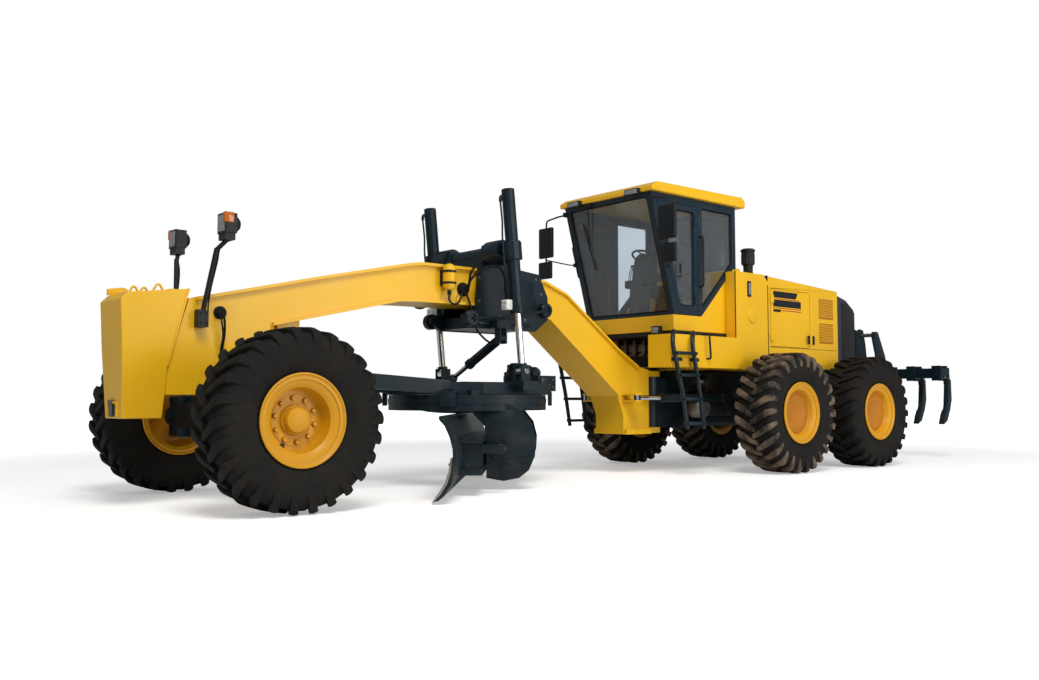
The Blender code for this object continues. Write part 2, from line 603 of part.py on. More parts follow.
# ---- lift saddle ----
saddle_in = FRONT_FLANGE_HALF + SEAT_GAP
SADDLE_END = LIFT_Y - 0.12     # where the saddle's cross tube ends, beside the lift cylinders
saddle_side = [(4.20, 1.66), (5.06, 1.66), (5.20, 1.74), (5.20, 1.80), (5.02, 1.86), (4.98, 2.40), (4.92, 2.56),
               (4.78, 2.56), (4.55, 2.34), (4.15, 2.30), (4.02, 2.05), (4.02, 1.80)]
saddle_shapes = on_both([slab(saddle_side, saddle_in, saddle_in + 0.06, "y")])
saddle_shapes += [
    bar((TRUNNION[0], -SADDLE_END, TRUNNION[1]), (TRUNNION[0], SADDLE_END, TRUNNION[1]), 0.085, 12),
    block(4.62, 4.96, -saddle_in - 0.03, saddle_in + 0.03, 2.3105, 2.42),
    block(4.25, 5.04, -saddle_in - 0.03, saddle_in + 0.03, 1.67, 1.79),
]
SHIFT_BASE = (4.78, 0.42, 1.56)
SHIFT_EYE = (4.78, -0.42, DRAWBAR_BALL[1])
for near in (SHIFT_BASE[0] + EYE_HALF + BEARING_GAP, SHIFT_BASE[0] - EYE_HALF - BEARING_GAP - LUG):
    saddle_shapes.append(block(near, near + LUG, SHIFT_BASE[1] - 0.04, SHIFT_BASE[1] + 0.05,
                               SHIFT_BASE[2] - 0.06, 1.70))
saddle_shapes.append(block(SHIFT_BASE[0] - 0.09, SHIFT_BASE[0] + 0.09, 0.31, SHIFT_BASE[1] + 0.05, 1.665, 1.75))
saddle_cuts = on_both([bar((TRUNNION[0], 0.45, TRUNNION[1]), (TRUNNION[0], 0.70, TRUNNION[1]), 0.0425, 12)])
node("lift_saddle", saddle_shapes, dark, cuts=saddle_cuts)

# ---- front axle and steering ----
KINGPIN = (WHEELBASE, KINGPIN_Y, TYRE_RADIUS)
axle_side = [(0.0, 1.0497), (0.19, 1.0497), (0.26, 0.93), (0.80, 0.86), (0.93, 0.86), (0.93, 0.63), (0.80, 0.63),
             (0.26, 0.66), (0.0, 0.66)]
axle_outline = [(y, z) for y, z in axle_side if y > 0] + [(-y, z) for y, z in reversed(axle_side) if y > 0]
axle_shapes = [slab(axle_outline, WHEELBASE - 0.10, WHEELBASE + 0.10, "x")]
axle_shapes += on_both([bar((WHEELBASE, KINGPIN_Y, 0.60 + BEARING_GAP), (WHEELBASE, KINGPIN_Y, 0.89 - BEARING_GAP), 0.11, 12)])
STEER_X = WHEELBASE - 0.28
STEER_Z = 0.70
steer_barrel = [(0.029, -0.24), (0.045, -0.24), (0.045, 0.24), (0.029, 0.24)]
axle_shapes += [
    turned(steer_barrel, (STEER_X, 0, STEER_Z), (0, 1, 0), 12),
    block(STEER_X + 0.034, WHEELBASE - 0.08, -0.20, 0.20, 0.665, 0.735),
]
node("front_axle", axle_shapes, dark)

ARM_EYE_Y = KINGPIN_Y - 0.10
knuckle_shapes = [
    bar((WHEELBASE, KINGPIN_Y, 0.89), (WHEELBASE, KINGPIN_Y, 0.94), 0.11, 12),
    bar((WHEELBASE, KINGPIN_Y, 0.55), (WHEELBASE, KINGPIN_Y, 0.60), 0.11, 12),
    block(WHEELBASE - 0.09, WHEELBASE + 0.09, KINGPIN_Y, 1.08, 0.892, 0.938),
    block(WHEELBASE - 0.09, WHEELBASE + 0.09, KINGPIN_Y, 1.08, 0.552, 0.598),
    block(WHEELBASE - 0.095, WHEELBASE + 0.095, 1.048, 1.09, 0.56, 0.93),
    bar((WHEELBASE, 1.07, TYRE_RADIUS), (WHEELBASE, FRONT_TRACK / 2 - HUB_DEPTH - BEARING_GAP, TYRE_RADIUS), 0.12, 12),
    slab([(WHEELBASE - 0.05, KINGPIN_Y + 0.05), (WHEELBASE - 0.05, KINGPIN_Y - 0.07),
          (STEER_X - 0.04, ARM_EYE_Y - 0.05), (STEER_X - 0.04, ARM_EYE_Y + 0.05)], 0.555, 0.595, "z"),
]
sides_of("knuckle", knuckle_shapes, dark, origin=KINGPIN)
rod_half = ARM_EYE_Y
node("steer_rod", [bar((STEER_X, -rod_half, STEER_Z), (STEER_X, rod_half, STEER_Z), 0.027, 12)]
     + on_both([bar((STEER_X, rod_half, 0.595 + BEARING_GAP), (STEER_X, rod_half, 0.74), 0.04, 10)]), chrome,
     origin=(STEER_X, 0, STEER_Z))

# ---- drawbar, circle and blade ----
plate = [(4.12, -0.50), (4.30, -0.66), (5.20, -0.66), (5.66, -0.34), (5.66, 0.34), (5.20, 0.66), (4.30, 0.66),
         (4.12, 0.50)]
PLATE_LOW, PLATE_HIGH = 0.96, 1.08
drawbar_shapes = [slab(plate, PLATE_LOW, PLATE_HIGH, "z")]
drawbar_shapes += on_both([
    beam((5.45, 0.38, 1.03), (6.94, 0.075, 1.14), 0.11, 0.15),
    block(LIFT_EYE[0] - 0.10, LIFT_EYE[0] + 0.10, 0.55, LIFT_Y + 0.14, 1.00, 1.10),
    block(LIFT_EYE[0] - 0.06, LIFT_EYE[0] + 0.06, LIFT_Y + LIFT_EYE_HALF + BEARING_GAP,
          LIFT_Y + LIFT_EYE_HALF + BEARING_GAP + LUG, 1.06, 1.26),
    block(LIFT_EYE[0] - 0.06, LIFT_EYE[0] + 0.06, LIFT_Y - LIFT_EYE_HALF - BEARING_GAP - LUG,
          LIFT_Y - LIFT_EYE_HALF - BEARING_GAP, 1.06, 1.26),
    block(5.24, 5.34, 0.56, 0.64, CIRCLE_TOP + BEARING_GAP, 1.0),
    block(4.38, 4.48, 0.56, 0.64, CIRCLE_TOP + BEARING_GAP, 1.0),
])
drawbar_shapes += [
    block(6.80, 6.94, -0.13, 0.13, 1.07, 1.21),
    bar((DRAWBAR_BALL[0], -0.055, DRAWBAR_BALL[1]), (DRAWBAR_BALL[0], 0.055, DRAWBAR_BALL[1]), 0.075, 12),
    block(6.92, DRAWBAR_BALL[0], -0.05, 0.05, 1.09, 1.20),
    block(4.02, 4.28, 0.10, 0.46, 1.0, 1.17),
    bar((4.20, 0, 1.05), (4.20, 0, 1.30), 0.11, 12),
]
# One lug only, on the front side: as the drawbar tips, this point of it only ever moves forward.
shift_lug = SHIFT_EYE[0] + EYE_HALF + 0.0008
drawbar_shapes.append(block(shift_lug, shift_lug + 0.04, SHIFT_EYE[1] - 0.05, SHIFT_EYE[1] + 0.05, 1.05,
                            SHIFT_EYE[2] + 0.03))
circle_well = turned([(0, 0.9), (0.30, 0.9), (0.30, 1.2), (0, 1.2)], (CIRCLE_X, 0, 0), (0, 0, 1), 24, closed=False)
node("drawbar", drawbar_shapes, dark, origin=(DRAWBAR_BALL[0], 0, DRAWBAR_BALL[1]), cuts=[
    moved(circle_well, Matrix.Translation((0.04, 0, 0)))])

# The blade's own axes: +X square to the blade and forward, +Y along it to its left end.
blade_turn = Matrix.Translation((CIRCLE_X, 0, 0)) @ Matrix.Rotation(-BLADE_ANGLE, 4, "Z")
ARM_OUTLINE = [(-0.05, 0.87), (-0.46, 0.87), (-0.60, 0.80), (-0.71, 0.66), (-0.75, 0.50), (-0.74, 0.34),
               (-0.68, 0.20), (-0.58, 0.12), (-0.42, 0.09), (-0.2505, 0.12), (-0.2505, 0.62), (-0.12, 0.76)]
SHIFT_X, SHIFT_Z = -0.42, 0.44
circle_shapes = [turned([(CIRCLE_BORE, CIRCLE_BOTTOM), (CIRCLE_RADIUS, CIRCLE_BOTTOM),
                         (CIRCLE_RADIUS, CIRCLE_TOP), (CIRCLE_BORE, CIRCLE_TOP)], (0, 0, 0), (0, 0, 1), 36)]
circle_shapes += on_both([slab(ARM_OUTLINE, ARM_Y - 0.03, ARM_Y + 0.03, "y")])
circle_shapes += [
    bored((SHIFT_X, 0, SHIFT_Z), (0, 1, 0), 0.055, 0.034, -0.68, 0.62, -0.60, 12),
    block(-0.66, -0.58, -0.69, 0.69, 0.36, 0.52),
    block(-0.62, SHIFT_X - 0.04, -0.45, -0.35, 0.40, 0.48),
    block(-0.62, SHIFT_X - 0.04, 0.35, 0.45, 0.40, 0.48),
]
rod_hole = bar((SHIFT_X, 0.60, SHIFT_Z), (SHIFT_X, 0.80, SHIFT_Z), 0.045, 12)
node("circle", [moved(shape, blade_turn) for shape in circle_shapes], dark,
     cuts=[moved(rod_hole, blade_turn)], origin=(CIRCLE_X, 0, CIRCLE_TOP))

FACE = [(0.12, 0.03), (0.06, 0.09), (0.0, 0.18), (-0.03, 0.28), (-0.045, 0.38), (-0.04, 0.48), (-0.015, 0.58),
        (0.03, 0.68), (0.08, 0.735)]
BACK = [(0.065, 0.755), (0.005, 0.70), (-0.04, 0.59), (-0.068, 0.48), (-0.073, 0.38), (-0.058, 0.27),
        (-0.027, 0.165), (0.035, 0.07), (0.085, 0.03)]
blade_half = BLADE_LENGTH / 2
blade_shapes = [
    slab(FACE + BACK, -blade_half, blade_half, "y"),
    block(-0.25, -0.05, -1.45, 1.45, 0.50, 0.56),
    block(-0.25, -0.03, -1.45, 1.45, 0.20, 0.26),
    block(-0.46, -0.06, 1.28, 1.32, 0.40, 0.48),
    block(-0.24, -0.06, 1.22, 1.38, 0.25, 0.51),
    bar((SHIFT_X, 0.05, SHIFT_Z), (SHIFT_X, 1.30, SHIFT_Z), 0.030, 12),
]
node("moldboard", [moved(shape, blade_turn) for shape in blade_shapes], dark, origin=(CIRCLE_X, 0, 0.38))

# ---- lift and centre-shift cylinders ----
LIFT_BARREL = (0.070, 0.050)
LIFT_ROD = 0.038
trunnion = Vector((TRUNNION[0], LIFT_Y, TRUNNION[1]))
lift_eye = Vector((LIFT_EYE[0], LIFT_Y, LIFT_EYE[1]))
lift_way = (lift_eye - trunnion).normalized()
barrel_shapes = [
    bored(trunnion, lift_way, LIFT_BARREL[0], LIFT_BARREL[1], -0.62, 0.66, -0.58, 12),
    turned([(0.056, -0.09), (0.10, -0.09), (0.10, 0.09), (0.056, 0.09)], trunnion, lift_way, 12),
    bar(trunnion + Vector((0, -0.24, 0)), trunnion + Vector((0, -0.06, 0)), 0.040, 12),
    bar((trunnion.x, SADDLE_END + BEARING_GAP, trunnion.z), (trunnion.x, 0.63, trunnion.z), 0.065, 12),
]
sides_of("lift_barrel", barrel_shapes, dark, origin=trunnion)
rod_shapes = [
    bar(lift_eye + Vector((0, -LIFT_EYE_HALF, 0)), lift_eye + Vector((0, LIFT_EYE_HALF, 0)), 0.055, 12),
    bar(lift_eye, lift_eye - lift_way * 1.45, LIFT_ROD, 12),
]
sides_of("lift_rod", rod_shapes, chrome, origin=lift_eye)

shift_base, shift_eye = Vector(SHIFT_BASE), Vector(SHIFT_EYE)
shift_way = (shift_eye - shift_base).normalized()
node("shift_barrel", [
    bar(shift_base + Vector((-EYE_HALF, 0, 0)), shift_base + Vector((EYE_HALF, 0, 0)), 0.05, 10),
    bar(shift_base, shift_base + shift_way * 0.12, 0.03, 12),
    bored(shift_base, shift_way, 0.050, 0.034, 0.08, 0.60, 0.12, 12)], dark, origin=shift_base)
node("shift_rod", [
    bar(shift_eye + Vector((-EYE_HALF, 0, 0)), shift_eye + Vector((EYE_HALF, 0, 0)), 0.045, 10),
    bar(shift_eye, shift_eye - shift_way * 0.50, 0.026, 12)], chrome, origin=shift_eye)

# ---- ripper ----
pivot = Vector((RIPPER_PIVOT[0], 0, RIPPER_PIVOT[1]))
ripper_eye = Vector((RIPPER_EYE[0], 0, RIPPER_EYE[1]))
ripper_base = Vector((RIPPER_BASE[0], 0, RIPPER_BASE[1]))
BEAM_Z = 1.31
BEAM_HALF = 1.30
arm_side = [(-2.18, 0.90), (-2.18, 1.00), (-2.25, 1.03), (-2.95, 1.36), (-3.25, 1.36), (-3.25, 1.24), (-2.95, 1.16),
            (-2.32, 0.88), (-2.25, 0.875)]
upright_side = [(-3.25, 1.30), (-2.85, 1.30), (-2.92, 1.98), (-3.02, 2.04), (-3.12, 2.02), (-3.18, 1.80)]
ripper_shapes = [block(RIPPER_BEAM_X - 0.10, RIPPER_BEAM_X + 0.10, -BEAM_HALF, BEAM_HALF, BEAM_Z - 0.075, BEAM_Z + 0.075)]
ripper_shapes += on_both([
    slab(arm_side, 0.3605, 0.42, "y"),
    slab(upright_side, EYE_HALF + BEARING_GAP, EYE_HALF + 0.035, "y"),
    block(-3.27, -2.87, EYE_HALF + CLEAR + 0.005, 0.40, 1.24, 1.33),
])
shank = [(-3.41, 1.40), (-3.56, 1.40), (-3.60, 1.10), (-3.60, 0.90), (-3.55, 0.75), (-3.44, 0.60), (-3.33, 0.54),
         (-3.40, 0.66), (-3.47, 0.80), (-3.49, 0.95), (-3.48, 1.12)]
for place in (-3, -2, 0, 2, 3):
    middle = place * SHANK_SPACING
    ripper_shapes.append(slab(shank, middle - 0.025, middle + 0.025, "y"))
for place in range(-3, 4):
    middle = place * SHANK_SPACING
    ripper_shapes.append(block(-3.50, -3.38, middle - 0.06, middle + 0.06, 1.23, 1.39))
node("ripper_frame", ripper_shapes, dark, origin=pivot)
ripper_way = (ripper_eye - ripper_base).normalized()
ripper_length = (ripper_eye - ripper_base).length
node("ripper_barrel", [
    bar(ripper_base + Vector((0, -0.05, 0)), ripper_base + Vector((0, 0.05, 0)), 0.055, 10),
    bar(ripper_base, ripper_base + ripper_way * 0.12, 0.04, 12),
    bored(ripper_base, ripper_way, 0.055, 0.038, 0.09, 0.80, 0.13, 12)], dark, origin=ripper_base)
node("ripper_rod", [
    bar(ripper_eye + Vector((0, -EYE_HALF, 0)), ripper_eye + Vector((0, EYE_HALF, 0)), 0.055, 10),
    bar(ripper_eye, ripper_eye - ripper_way * 0.80, 0.030, 12)], chrome, origin=ripper_eye)
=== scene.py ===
# %% [markdown]
# # A motor grader, dressed for show
# A motor grader is a long road machine: a push block and two steered wheels in front, a goose-necked beam
# with a blade hung on a toothed circle under it, a glazed cab, an engine behind the cab, four driven wheels
# on two tandem cases and a ripper at the back. The frame that is loaded here already has the true sizes
# and the moving bodies. This script gives it its surfaces and its small pieces, and leaves the frame alone.
import json
import math

import bmesh
import bpy
import numpy as np
from mathutils import Matrix, Vector

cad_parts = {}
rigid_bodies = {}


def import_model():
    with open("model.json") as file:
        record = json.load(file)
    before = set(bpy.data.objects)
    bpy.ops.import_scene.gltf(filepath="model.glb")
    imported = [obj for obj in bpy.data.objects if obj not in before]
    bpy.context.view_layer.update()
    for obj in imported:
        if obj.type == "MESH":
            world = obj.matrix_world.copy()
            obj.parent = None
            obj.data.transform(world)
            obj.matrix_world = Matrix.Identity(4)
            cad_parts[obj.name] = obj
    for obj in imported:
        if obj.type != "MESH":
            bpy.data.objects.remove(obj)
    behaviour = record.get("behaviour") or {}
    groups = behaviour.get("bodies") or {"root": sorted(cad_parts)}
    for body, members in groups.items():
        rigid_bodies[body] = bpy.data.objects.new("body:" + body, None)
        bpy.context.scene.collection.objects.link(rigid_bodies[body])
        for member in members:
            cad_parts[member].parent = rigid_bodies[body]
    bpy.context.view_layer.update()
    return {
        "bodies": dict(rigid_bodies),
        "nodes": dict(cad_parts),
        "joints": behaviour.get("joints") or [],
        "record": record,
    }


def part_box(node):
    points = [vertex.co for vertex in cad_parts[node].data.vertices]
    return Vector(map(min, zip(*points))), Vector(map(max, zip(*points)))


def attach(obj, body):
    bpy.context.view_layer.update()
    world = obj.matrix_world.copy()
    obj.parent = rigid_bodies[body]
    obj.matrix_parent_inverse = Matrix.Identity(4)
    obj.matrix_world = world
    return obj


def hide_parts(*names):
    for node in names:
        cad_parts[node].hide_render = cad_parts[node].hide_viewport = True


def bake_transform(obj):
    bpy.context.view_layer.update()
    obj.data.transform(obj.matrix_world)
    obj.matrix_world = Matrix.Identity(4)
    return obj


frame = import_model()

# %% [markdown]
# ## Where things are
# Along the machine, a builder measures from the middle of the tandem, halfway between the two rear axles.
# So does this script: `spot` turns such a measure into a place in the frame.
# %% places along the machine
middle_low, middle_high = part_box("rim_middle_left")
rear_low, rear_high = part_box("rim_rear_left")
TANDEM_X = (middle_low.x + middle_high.x + rear_low.x + rear_high.x) / 4


def spot(x, y, z):
    """A place measured forward from the middle of the tandem, left of the middle and up from the ground."""
    return Vector((TANDEM_X + x, y, z))


print("middle of the tandem at", round(TANDEM_X, 3))

# %% [markdown]
# ## Camera, light and floor
# The camera stands low beside the front wheel, a little over three metres from it, and looks back along
# the left side. Its lens is short enough to take in the whole machine. A huge pale floor and an even pale
# sky make a plain studio. Two soft lamps shape the paint, a large one above and one from the left side.
# %% camera
CAMERA_SPOT = spot(11.371, 8.437, 0.912)
CAMERA_TURN = math.radians(229.464)     # the way it looks, turned from straight ahead
CAMERA_TILT = math.radians(3.468)       # upwards
CAMERA_LENS = 33.82                     # millimetres on a 36 mm wide picture

camera_data = bpy.data.cameras.new("camera")
camera_data.sensor_width = 36.0
camera_data.lens = CAMERA_LENS
camera_data.clip_start = 0.1
camera_data.clip_end = 2000.0
camera = bpy.data.objects.new("camera", camera_data)
bpy.context.scene.collection.objects.link(camera)
camera.location = CAMERA_SPOT
looking = Vector((math.cos(CAMERA_TURN) * math.cos(CAMERA_TILT),
                  math.sin(CAMERA_TURN) * math.cos(CAMERA_TILT), math.sin(CAMERA_TILT)))
camera.rotation_mode = "QUATERNION"
camera.rotation_quaternion = looking.to_track_quat("-Z", "Y")
bpy.context.scene.camera = camera

# %% light
scene = bpy.context.scene
scene.view_settings.view_transform = "Standard"
world = bpy.data.worlds.new("studio")
world.use_nodes = True
sky = world.node_tree.nodes["Background"]
sky.inputs["Color"].default_value = (0.93, 0.965, 1.0, 1)
sky.inputs["Strength"].default_value = 0.33
backdrop = world.node_tree.nodes.new("ShaderNodeBackground")
backdrop.inputs["Color"].default_value = (1.0, 1.0, 1.0, 1)
seen = world.node_tree.nodes.new("ShaderNodeLightPath")
either = world.node_tree.nodes.new("ShaderNodeMixShader")
through = world.node_tree.nodes.new("ShaderNodeMath")
through.operation = "MAXIMUM"
world.node_tree.links.new(seen.outputs["Is Camera Ray"], through.inputs[0])
world.node_tree.links.new(seen.outputs["Is Transmission Ray"], through.inputs[1])
world.node_tree.links.new(through.outputs[0], either.inputs[0])
world.node_tree.links.new(sky.outputs[0], either.inputs[1])
world.node_tree.links.new(backdrop.outputs[0], either.inputs[2])
world.node_tree.links.new(either.outputs[0], world.node_tree.nodes["World Output"].inputs["Surface"])
scene.world = world


def soft_lamp(name, place, aim, size, watts, colour):
    """A large square lamp that points at a place."""
    lamp_data = bpy.data.lights.new(name, "AREA")
    lamp_data.shape = "SQUARE"
    lamp_data.size = size
    lamp_data.energy = watts
    lamp_data.color = colour
    lamp = bpy.data.objects.new(name, lamp_data)
    scene.collection.objects.link(lamp)
    lamp.location = place
    lamp.rotation_mode = "QUATERNION"
    lamp.rotation_quaternion = (Vector(aim) - Vector(place)).to_track_quat("-Z", "Y")
    return lamp


soft_lamp("key_lamp", (8.0, 10.5, 15.0), (0.0, 0.0, 1.2), 7.0, 2200, (1.0, 0.985, 0.95))
soft_lamp("side_lamp", (-3.0, 14.0, 4.0), (-1.0, 0.0, 1.4), 6.0, 700, (1.0, 0.99, 0.97))

# %% floor
bpy.ops.object.select_all(action="DESELECT")
bpy.ops.mesh.primitive_circle_add(vertices=96, radius=400, fill_type="NGON", location=(0, 0, 0))
floor = bpy.context.object
floor.name = "studio_floor"
floor_paint = bpy.data.materials.new("studio_floor")
floor_paint.use_nodes = True
floor_shader = floor_paint.node_tree.nodes["Principled BSDF"]
floor_shader.inputs["Base Color"].default_value = (0.93, 0.93, 0.935, 1)
floor_shader.inputs["Roughness"].default_value = 0.85
floor_place = floor_paint.node_tree.nodes.new("ShaderNodeTexCoord")
floor_reach = floor_paint.node_tree.nodes.new("ShaderNodeVectorMath")
floor_reach.operation = "LENGTH"
floor_glow = floor_paint.node_tree.nodes.new("ShaderNodeMapRange")
floor_glow.inputs["From Min"].default_value = 7.0
floor_glow.inputs["From Max"].default_value = 16.0
floor_glow.inputs["To Min"].default_value = 0.34
floor_glow.inputs["To Max"].default_value = 0.98
floor_glow.interpolation_type = "SMOOTHSTEP"
floor_paint.node_tree.links.new(floor_place.outputs["Object"], floor_reach.inputs[0])
floor_paint.node_tree.links.new(floor_reach.outputs["Value"], floor_glow.inputs["Value"])
# Only the camera sees the glow: it whitens the floor without lighting the machine.
floor_seen = floor_paint.node_tree.nodes.new("ShaderNodeLightPath")
floor_shown = floor_paint.node_tree.nodes.new("ShaderNodeMath")
floor_shown.operation = "MULTIPLY"
floor_paint.node_tree.links.new(floor_glow.outputs["Result"], floor_shown.inputs[0])
floor_paint.node_tree.links.new(floor_seen.outputs["Is Camera Ray"], floor_shown.inputs[1])
floor_paint.node_tree.links.new(floor_shown.outputs[0], floor_shader.inputs["Emission Color"])
floor_shader.inputs["Emission Strength"].default_value = 1.0
floor.data.materials.append(floor_paint)
# %% [markdown]
# ## Paints and other finishes
# A painted steel panel is never one flat colour. The paint lies in a faint orange peel, large panels differ
# a little in tone, and the lowest plates carry a film of dust. Those three effects are the same on every
# paint, so they are built once, as a node group, and each material places the group with its own values.
# Rubber, bare rods, glass and plastic each need something different, so they have their own short recipes.
# %% a shared group: tone, dust and peel
def new_group(name, inputs, outputs):
    """An empty node group with named sockets."""
    group = bpy.data.node_groups.new(name, "ShaderNodeTree")
    for label, kind, value in inputs:
        socket = group.interface.new_socket(label, in_out="INPUT", socket_type=kind)
        socket.default_value = value
    for label, kind in outputs:
        group.interface.new_socket(label, in_out="OUTPUT", socket_type=kind)
    return group, group.nodes.new("NodeGroupInput"), group.nodes.new("NodeGroupOutput")


def noise_node(tree, vector, scale, detail, roughness=0.5):
    """Noise read from a vector socket, or from the piece's own place in metres."""
    if vector is None:
        vector = tree.nodes.new("ShaderNodeTexCoord").outputs["Object"]
    noise = tree.nodes.new("ShaderNodeTexNoise")
    noise.inputs["Scale"].default_value = scale
    noise.inputs["Detail"].default_value = detail
    noise.inputs["Roughness"].default_value = roughness
    tree.links.new(vector, noise.inputs["Vector"])
    return noise.outputs["Fac"]


def remap_node(tree, value, low, high, to_low=0.0, to_high=1.0):
    remap = tree.nodes.new("ShaderNodeMapRange")
    for label, number in (("From Min", low), ("From Max", high), ("To Min", to_low), ("To Max", to_high)):
        remap.inputs[label].default_value = number
    tree.links.new(value, remap.inputs["Value"])
    return remap.outputs["Result"]


def math_node(tree, operation, first, second):
    node = tree.nodes.new("ShaderNodeMath")
    node.operation = operation
    for socket, value in zip(node.inputs, (first, second)):
        if isinstance(value, (int, float)):
            socket.default_value = value
        else:
            tree.links.new(value, socket)
    return node.outputs["Value"]


def mix_node(tree, share, first, second, blend="MIX"):
    mix = tree.nodes.new("ShaderNodeMix")
    mix.data_type = "RGBA"
    mix.blend_type = blend
    for label, value in (("Factor", share), ("A", first), ("B", second)):
        kind = "VALUE" if label == "Factor" else "RGBA"
        socket = next(s for s in mix.inputs if s.name == label and s.type == kind)
        if isinstance(value, tuple):
            socket.default_value = (*value, 1)
        elif isinstance(value, (int, float)):
            socket.default_value = value
        else:
            tree.links.new(value, socket)
    return next(s for s in mix.outputs if s.type == "RGBA")


DUST_COLOUR = (0.36, 0.27, 0.17)


def make_surface_group():
    group, given, result = new_group(
        "painted_surface",
        [("Colour", "NodeSocketColor", (0.8, 0.5, 0.05, 1)), ("Tone", "NodeSocketFloat", 0.08),
         ("Dust", "NodeSocketFloat", 0.3), ("Dust Top", "NodeSocketFloat", 1.2),
         ("Roughness", "NodeSocketFloat", 0.35)],
        [("Colour", "NodeSocketColor"), ("Roughness", "NodeSocketFloat"), ("Height", "NodeSocketFloat")])
    place = group.nodes.new("ShaderNodeTexCoord").outputs["Object"]
    axes = group.nodes.new("ShaderNodeSeparateXYZ")
    group.links.new(place, axes.inputs["Vector"])
    # Large soft patches shift the tone up and down.
    patches = remap_node(group, noise_node(group, place, 0.9, 2.0), 0.3, 0.7, -1.0, 1.0)
    shift = math_node(group, "MULTIPLY", patches, given.outputs["Tone"])
    brightness = math_node(group, "ADD", shift, 1.0)
    scale = group.nodes.new("ShaderNodeVectorMath")
    scale.operation = "SCALE"
    group.links.new(given.outputs["Colour"], scale.inputs["Vector"])
    group.links.new(brightness, scale.inputs["Scale"])
    # Dust lies low down and in patches, and more of it on faces that look up.
    height = group.nodes.new("ShaderNodeMapRange")
    group.links.new(axes.outputs["Z"], height.inputs["Value"])
    height.inputs["From Min"].default_value = 0.1
    group.links.new(given.outputs["Dust Top"], height.inputs["From Max"])
    height.inputs["To Min"].default_value = 1.0
    height.inputs["To Max"].default_value = 0.0
    blots = remap_node(group, noise_node(group, place, 7.0, 5.0, 0.62), 0.42, 0.68)
    low_dust = math_node(group, "MULTIPLY", height.outputs["Result"], blots)
    facing = group.nodes.new("ShaderNodeNewGeometry")
    tilt = group.nodes.new("ShaderNodeSeparateXYZ")
    group.links.new(facing.outputs["Normal"], tilt.inputs["Vector"])
    upward = remap_node(group, tilt.outputs["Z"], 0.6, 1.0)
    settled = math_node(group, "MULTIPLY", math_node(group, "MULTIPLY", upward, blots), 0.35)
    dust = math_node(group, "MULTIPLY", math_node(group, "MAXIMUM", low_dust, settled), given.outputs["Dust"])
    group.links.new(mix_node(group, dust, scale.outputs["Vector"], DUST_COLOUR), result.inputs["Colour"])
    # Dust is dull, and clean paint has faint smears.
    smears = remap_node(group, noise_node(group, place, 3.5, 4.0), 0.3, 0.7, -0.05, 0.05)
    gloss = math_node(group, "ADD", given.outputs["Roughness"], smears)
    dull = math_node(group, "ADD", gloss, math_node(group, "MULTIPLY", dust, 0.4))
    group.links.new(dull, result.inputs["Roughness"])
    peel = noise_node(group, place, 260.0, 2.0)
    group.links.new(peel, result.inputs["Height"])
    return group


surface_group = make_surface_group()
print("shared group:", surface_group.name)


# %% painted materials
def new_material(name):
    made = bpy.data.materials.new(name)
    made.use_nodes = True
    return made, made.node_tree, made.node_tree.nodes["Principled BSDF"]


def add_bump(tree, shader, height, strength, distance):
    bump = tree.nodes.new("ShaderNodeBump")
    bump.inputs["Strength"].default_value = strength
    bump.inputs["Distance"].default_value = distance
    tree.links.new(height, bump.inputs["Height"])
    tree.links.new(bump.outputs["Normal"], shader.inputs["Normal"])


def paint(name, colour, roughness, tone=0.06, dust=0.3, dust_top=1.2, coat=0.25, metallic=0.0, peel=0.12,
          shine=0.5):
    made, tree, shader = new_material(name)
    surface = tree.nodes.new("ShaderNodeGroup")
    surface.node_tree = surface_group
    surface.inputs["Colour"].default_value = (*colour, 1)
    surface.inputs["Tone"].default_value = tone
    surface.inputs["Dust"].default_value = dust
    surface.inputs["Dust Top"].default_value = dust_top
    surface.inputs["Roughness"].default_value = roughness
    tree.links.new(surface.outputs["Colour"], shader.inputs["Base Color"])
    tree.links.new(surface.outputs["Roughness"], shader.inputs["Roughness"])
    shader.inputs["Coat Weight"].default_value = coat
    shader.inputs["Coat Roughness"].default_value = 0.12
    shader.inputs["Metallic"].default_value = metallic
    shader.inputs["Specular IOR Level"].default_value = shine
    add_bump(tree, shader, surface.outputs["Height"], peel, 0.0006)
    return made


MACHINE_YELLOW = (0.78, 0.435, 0.008)
body_yellow = paint("body_yellow", MACHINE_YELLOW, 0.38, tone=0.05, dust=0.10, coat=0.05,
                    shine=0.35)
wheel_yellow = paint("wheel_yellow", (0.60, 0.28, 0.005), 0.45, tone=0.06, dust=0.06, dust_top=0.6, coat=0.05,
                     shine=0.3)
# A darker copy of the wheel yellow: painted shade for faces that lie deep or behind others, the rims' dishes
# and the gaps behind the louvre slats. Its dust and tone patches are real.
wheel_orange = paint("wheel_orange", (0.42, 0.15, 0.006), 0.5, tone=0.10, dust=0.12, dust_top=0.8, coat=0.0,
                     shine=0.3)
frame_blue = paint("frame_blue", (0.0045, 0.0130, 0.0190), 0.40, tone=0.25, dust=0.07, coat=0.05, shine=0.22)
cab_blue = paint("cab_blue", (0.010, 0.022, 0.034), 0.36, tone=0.15, dust=0.03, coat=0.05, shine=0.22)
cowl_grey = paint("cowl_grey", (0.028, 0.034, 0.048), 0.45, tone=0.12, dust=0.1, coat=0.05, shine=0.22)
engine_grey = paint("engine_grey", (0.055, 0.058, 0.06), 0.6, tone=0.3, dust=0.5, dust_top=1.8, coat=0.05,
                    peel=0.4, shine=0.22)
soot_black = paint("soot_black", (0.014, 0.014, 0.015), 0.55, tone=0.2, dust=0.15, coat=0.05, peel=0.5,
                   shine=0.22)
plastic_black = paint("plastic_black", (0.008, 0.009, 0.011), 0.48, tone=0.15, dust=0.12, coat=0.05,
                      peel=0.5, shine=0.22)
trim_charcoal = paint("trim_charcoal", (0.030, 0.032, 0.036), 0.7, tone=0.12, dust=0.0, coat=0.05, peel=0.9,
                      shine=0.22)
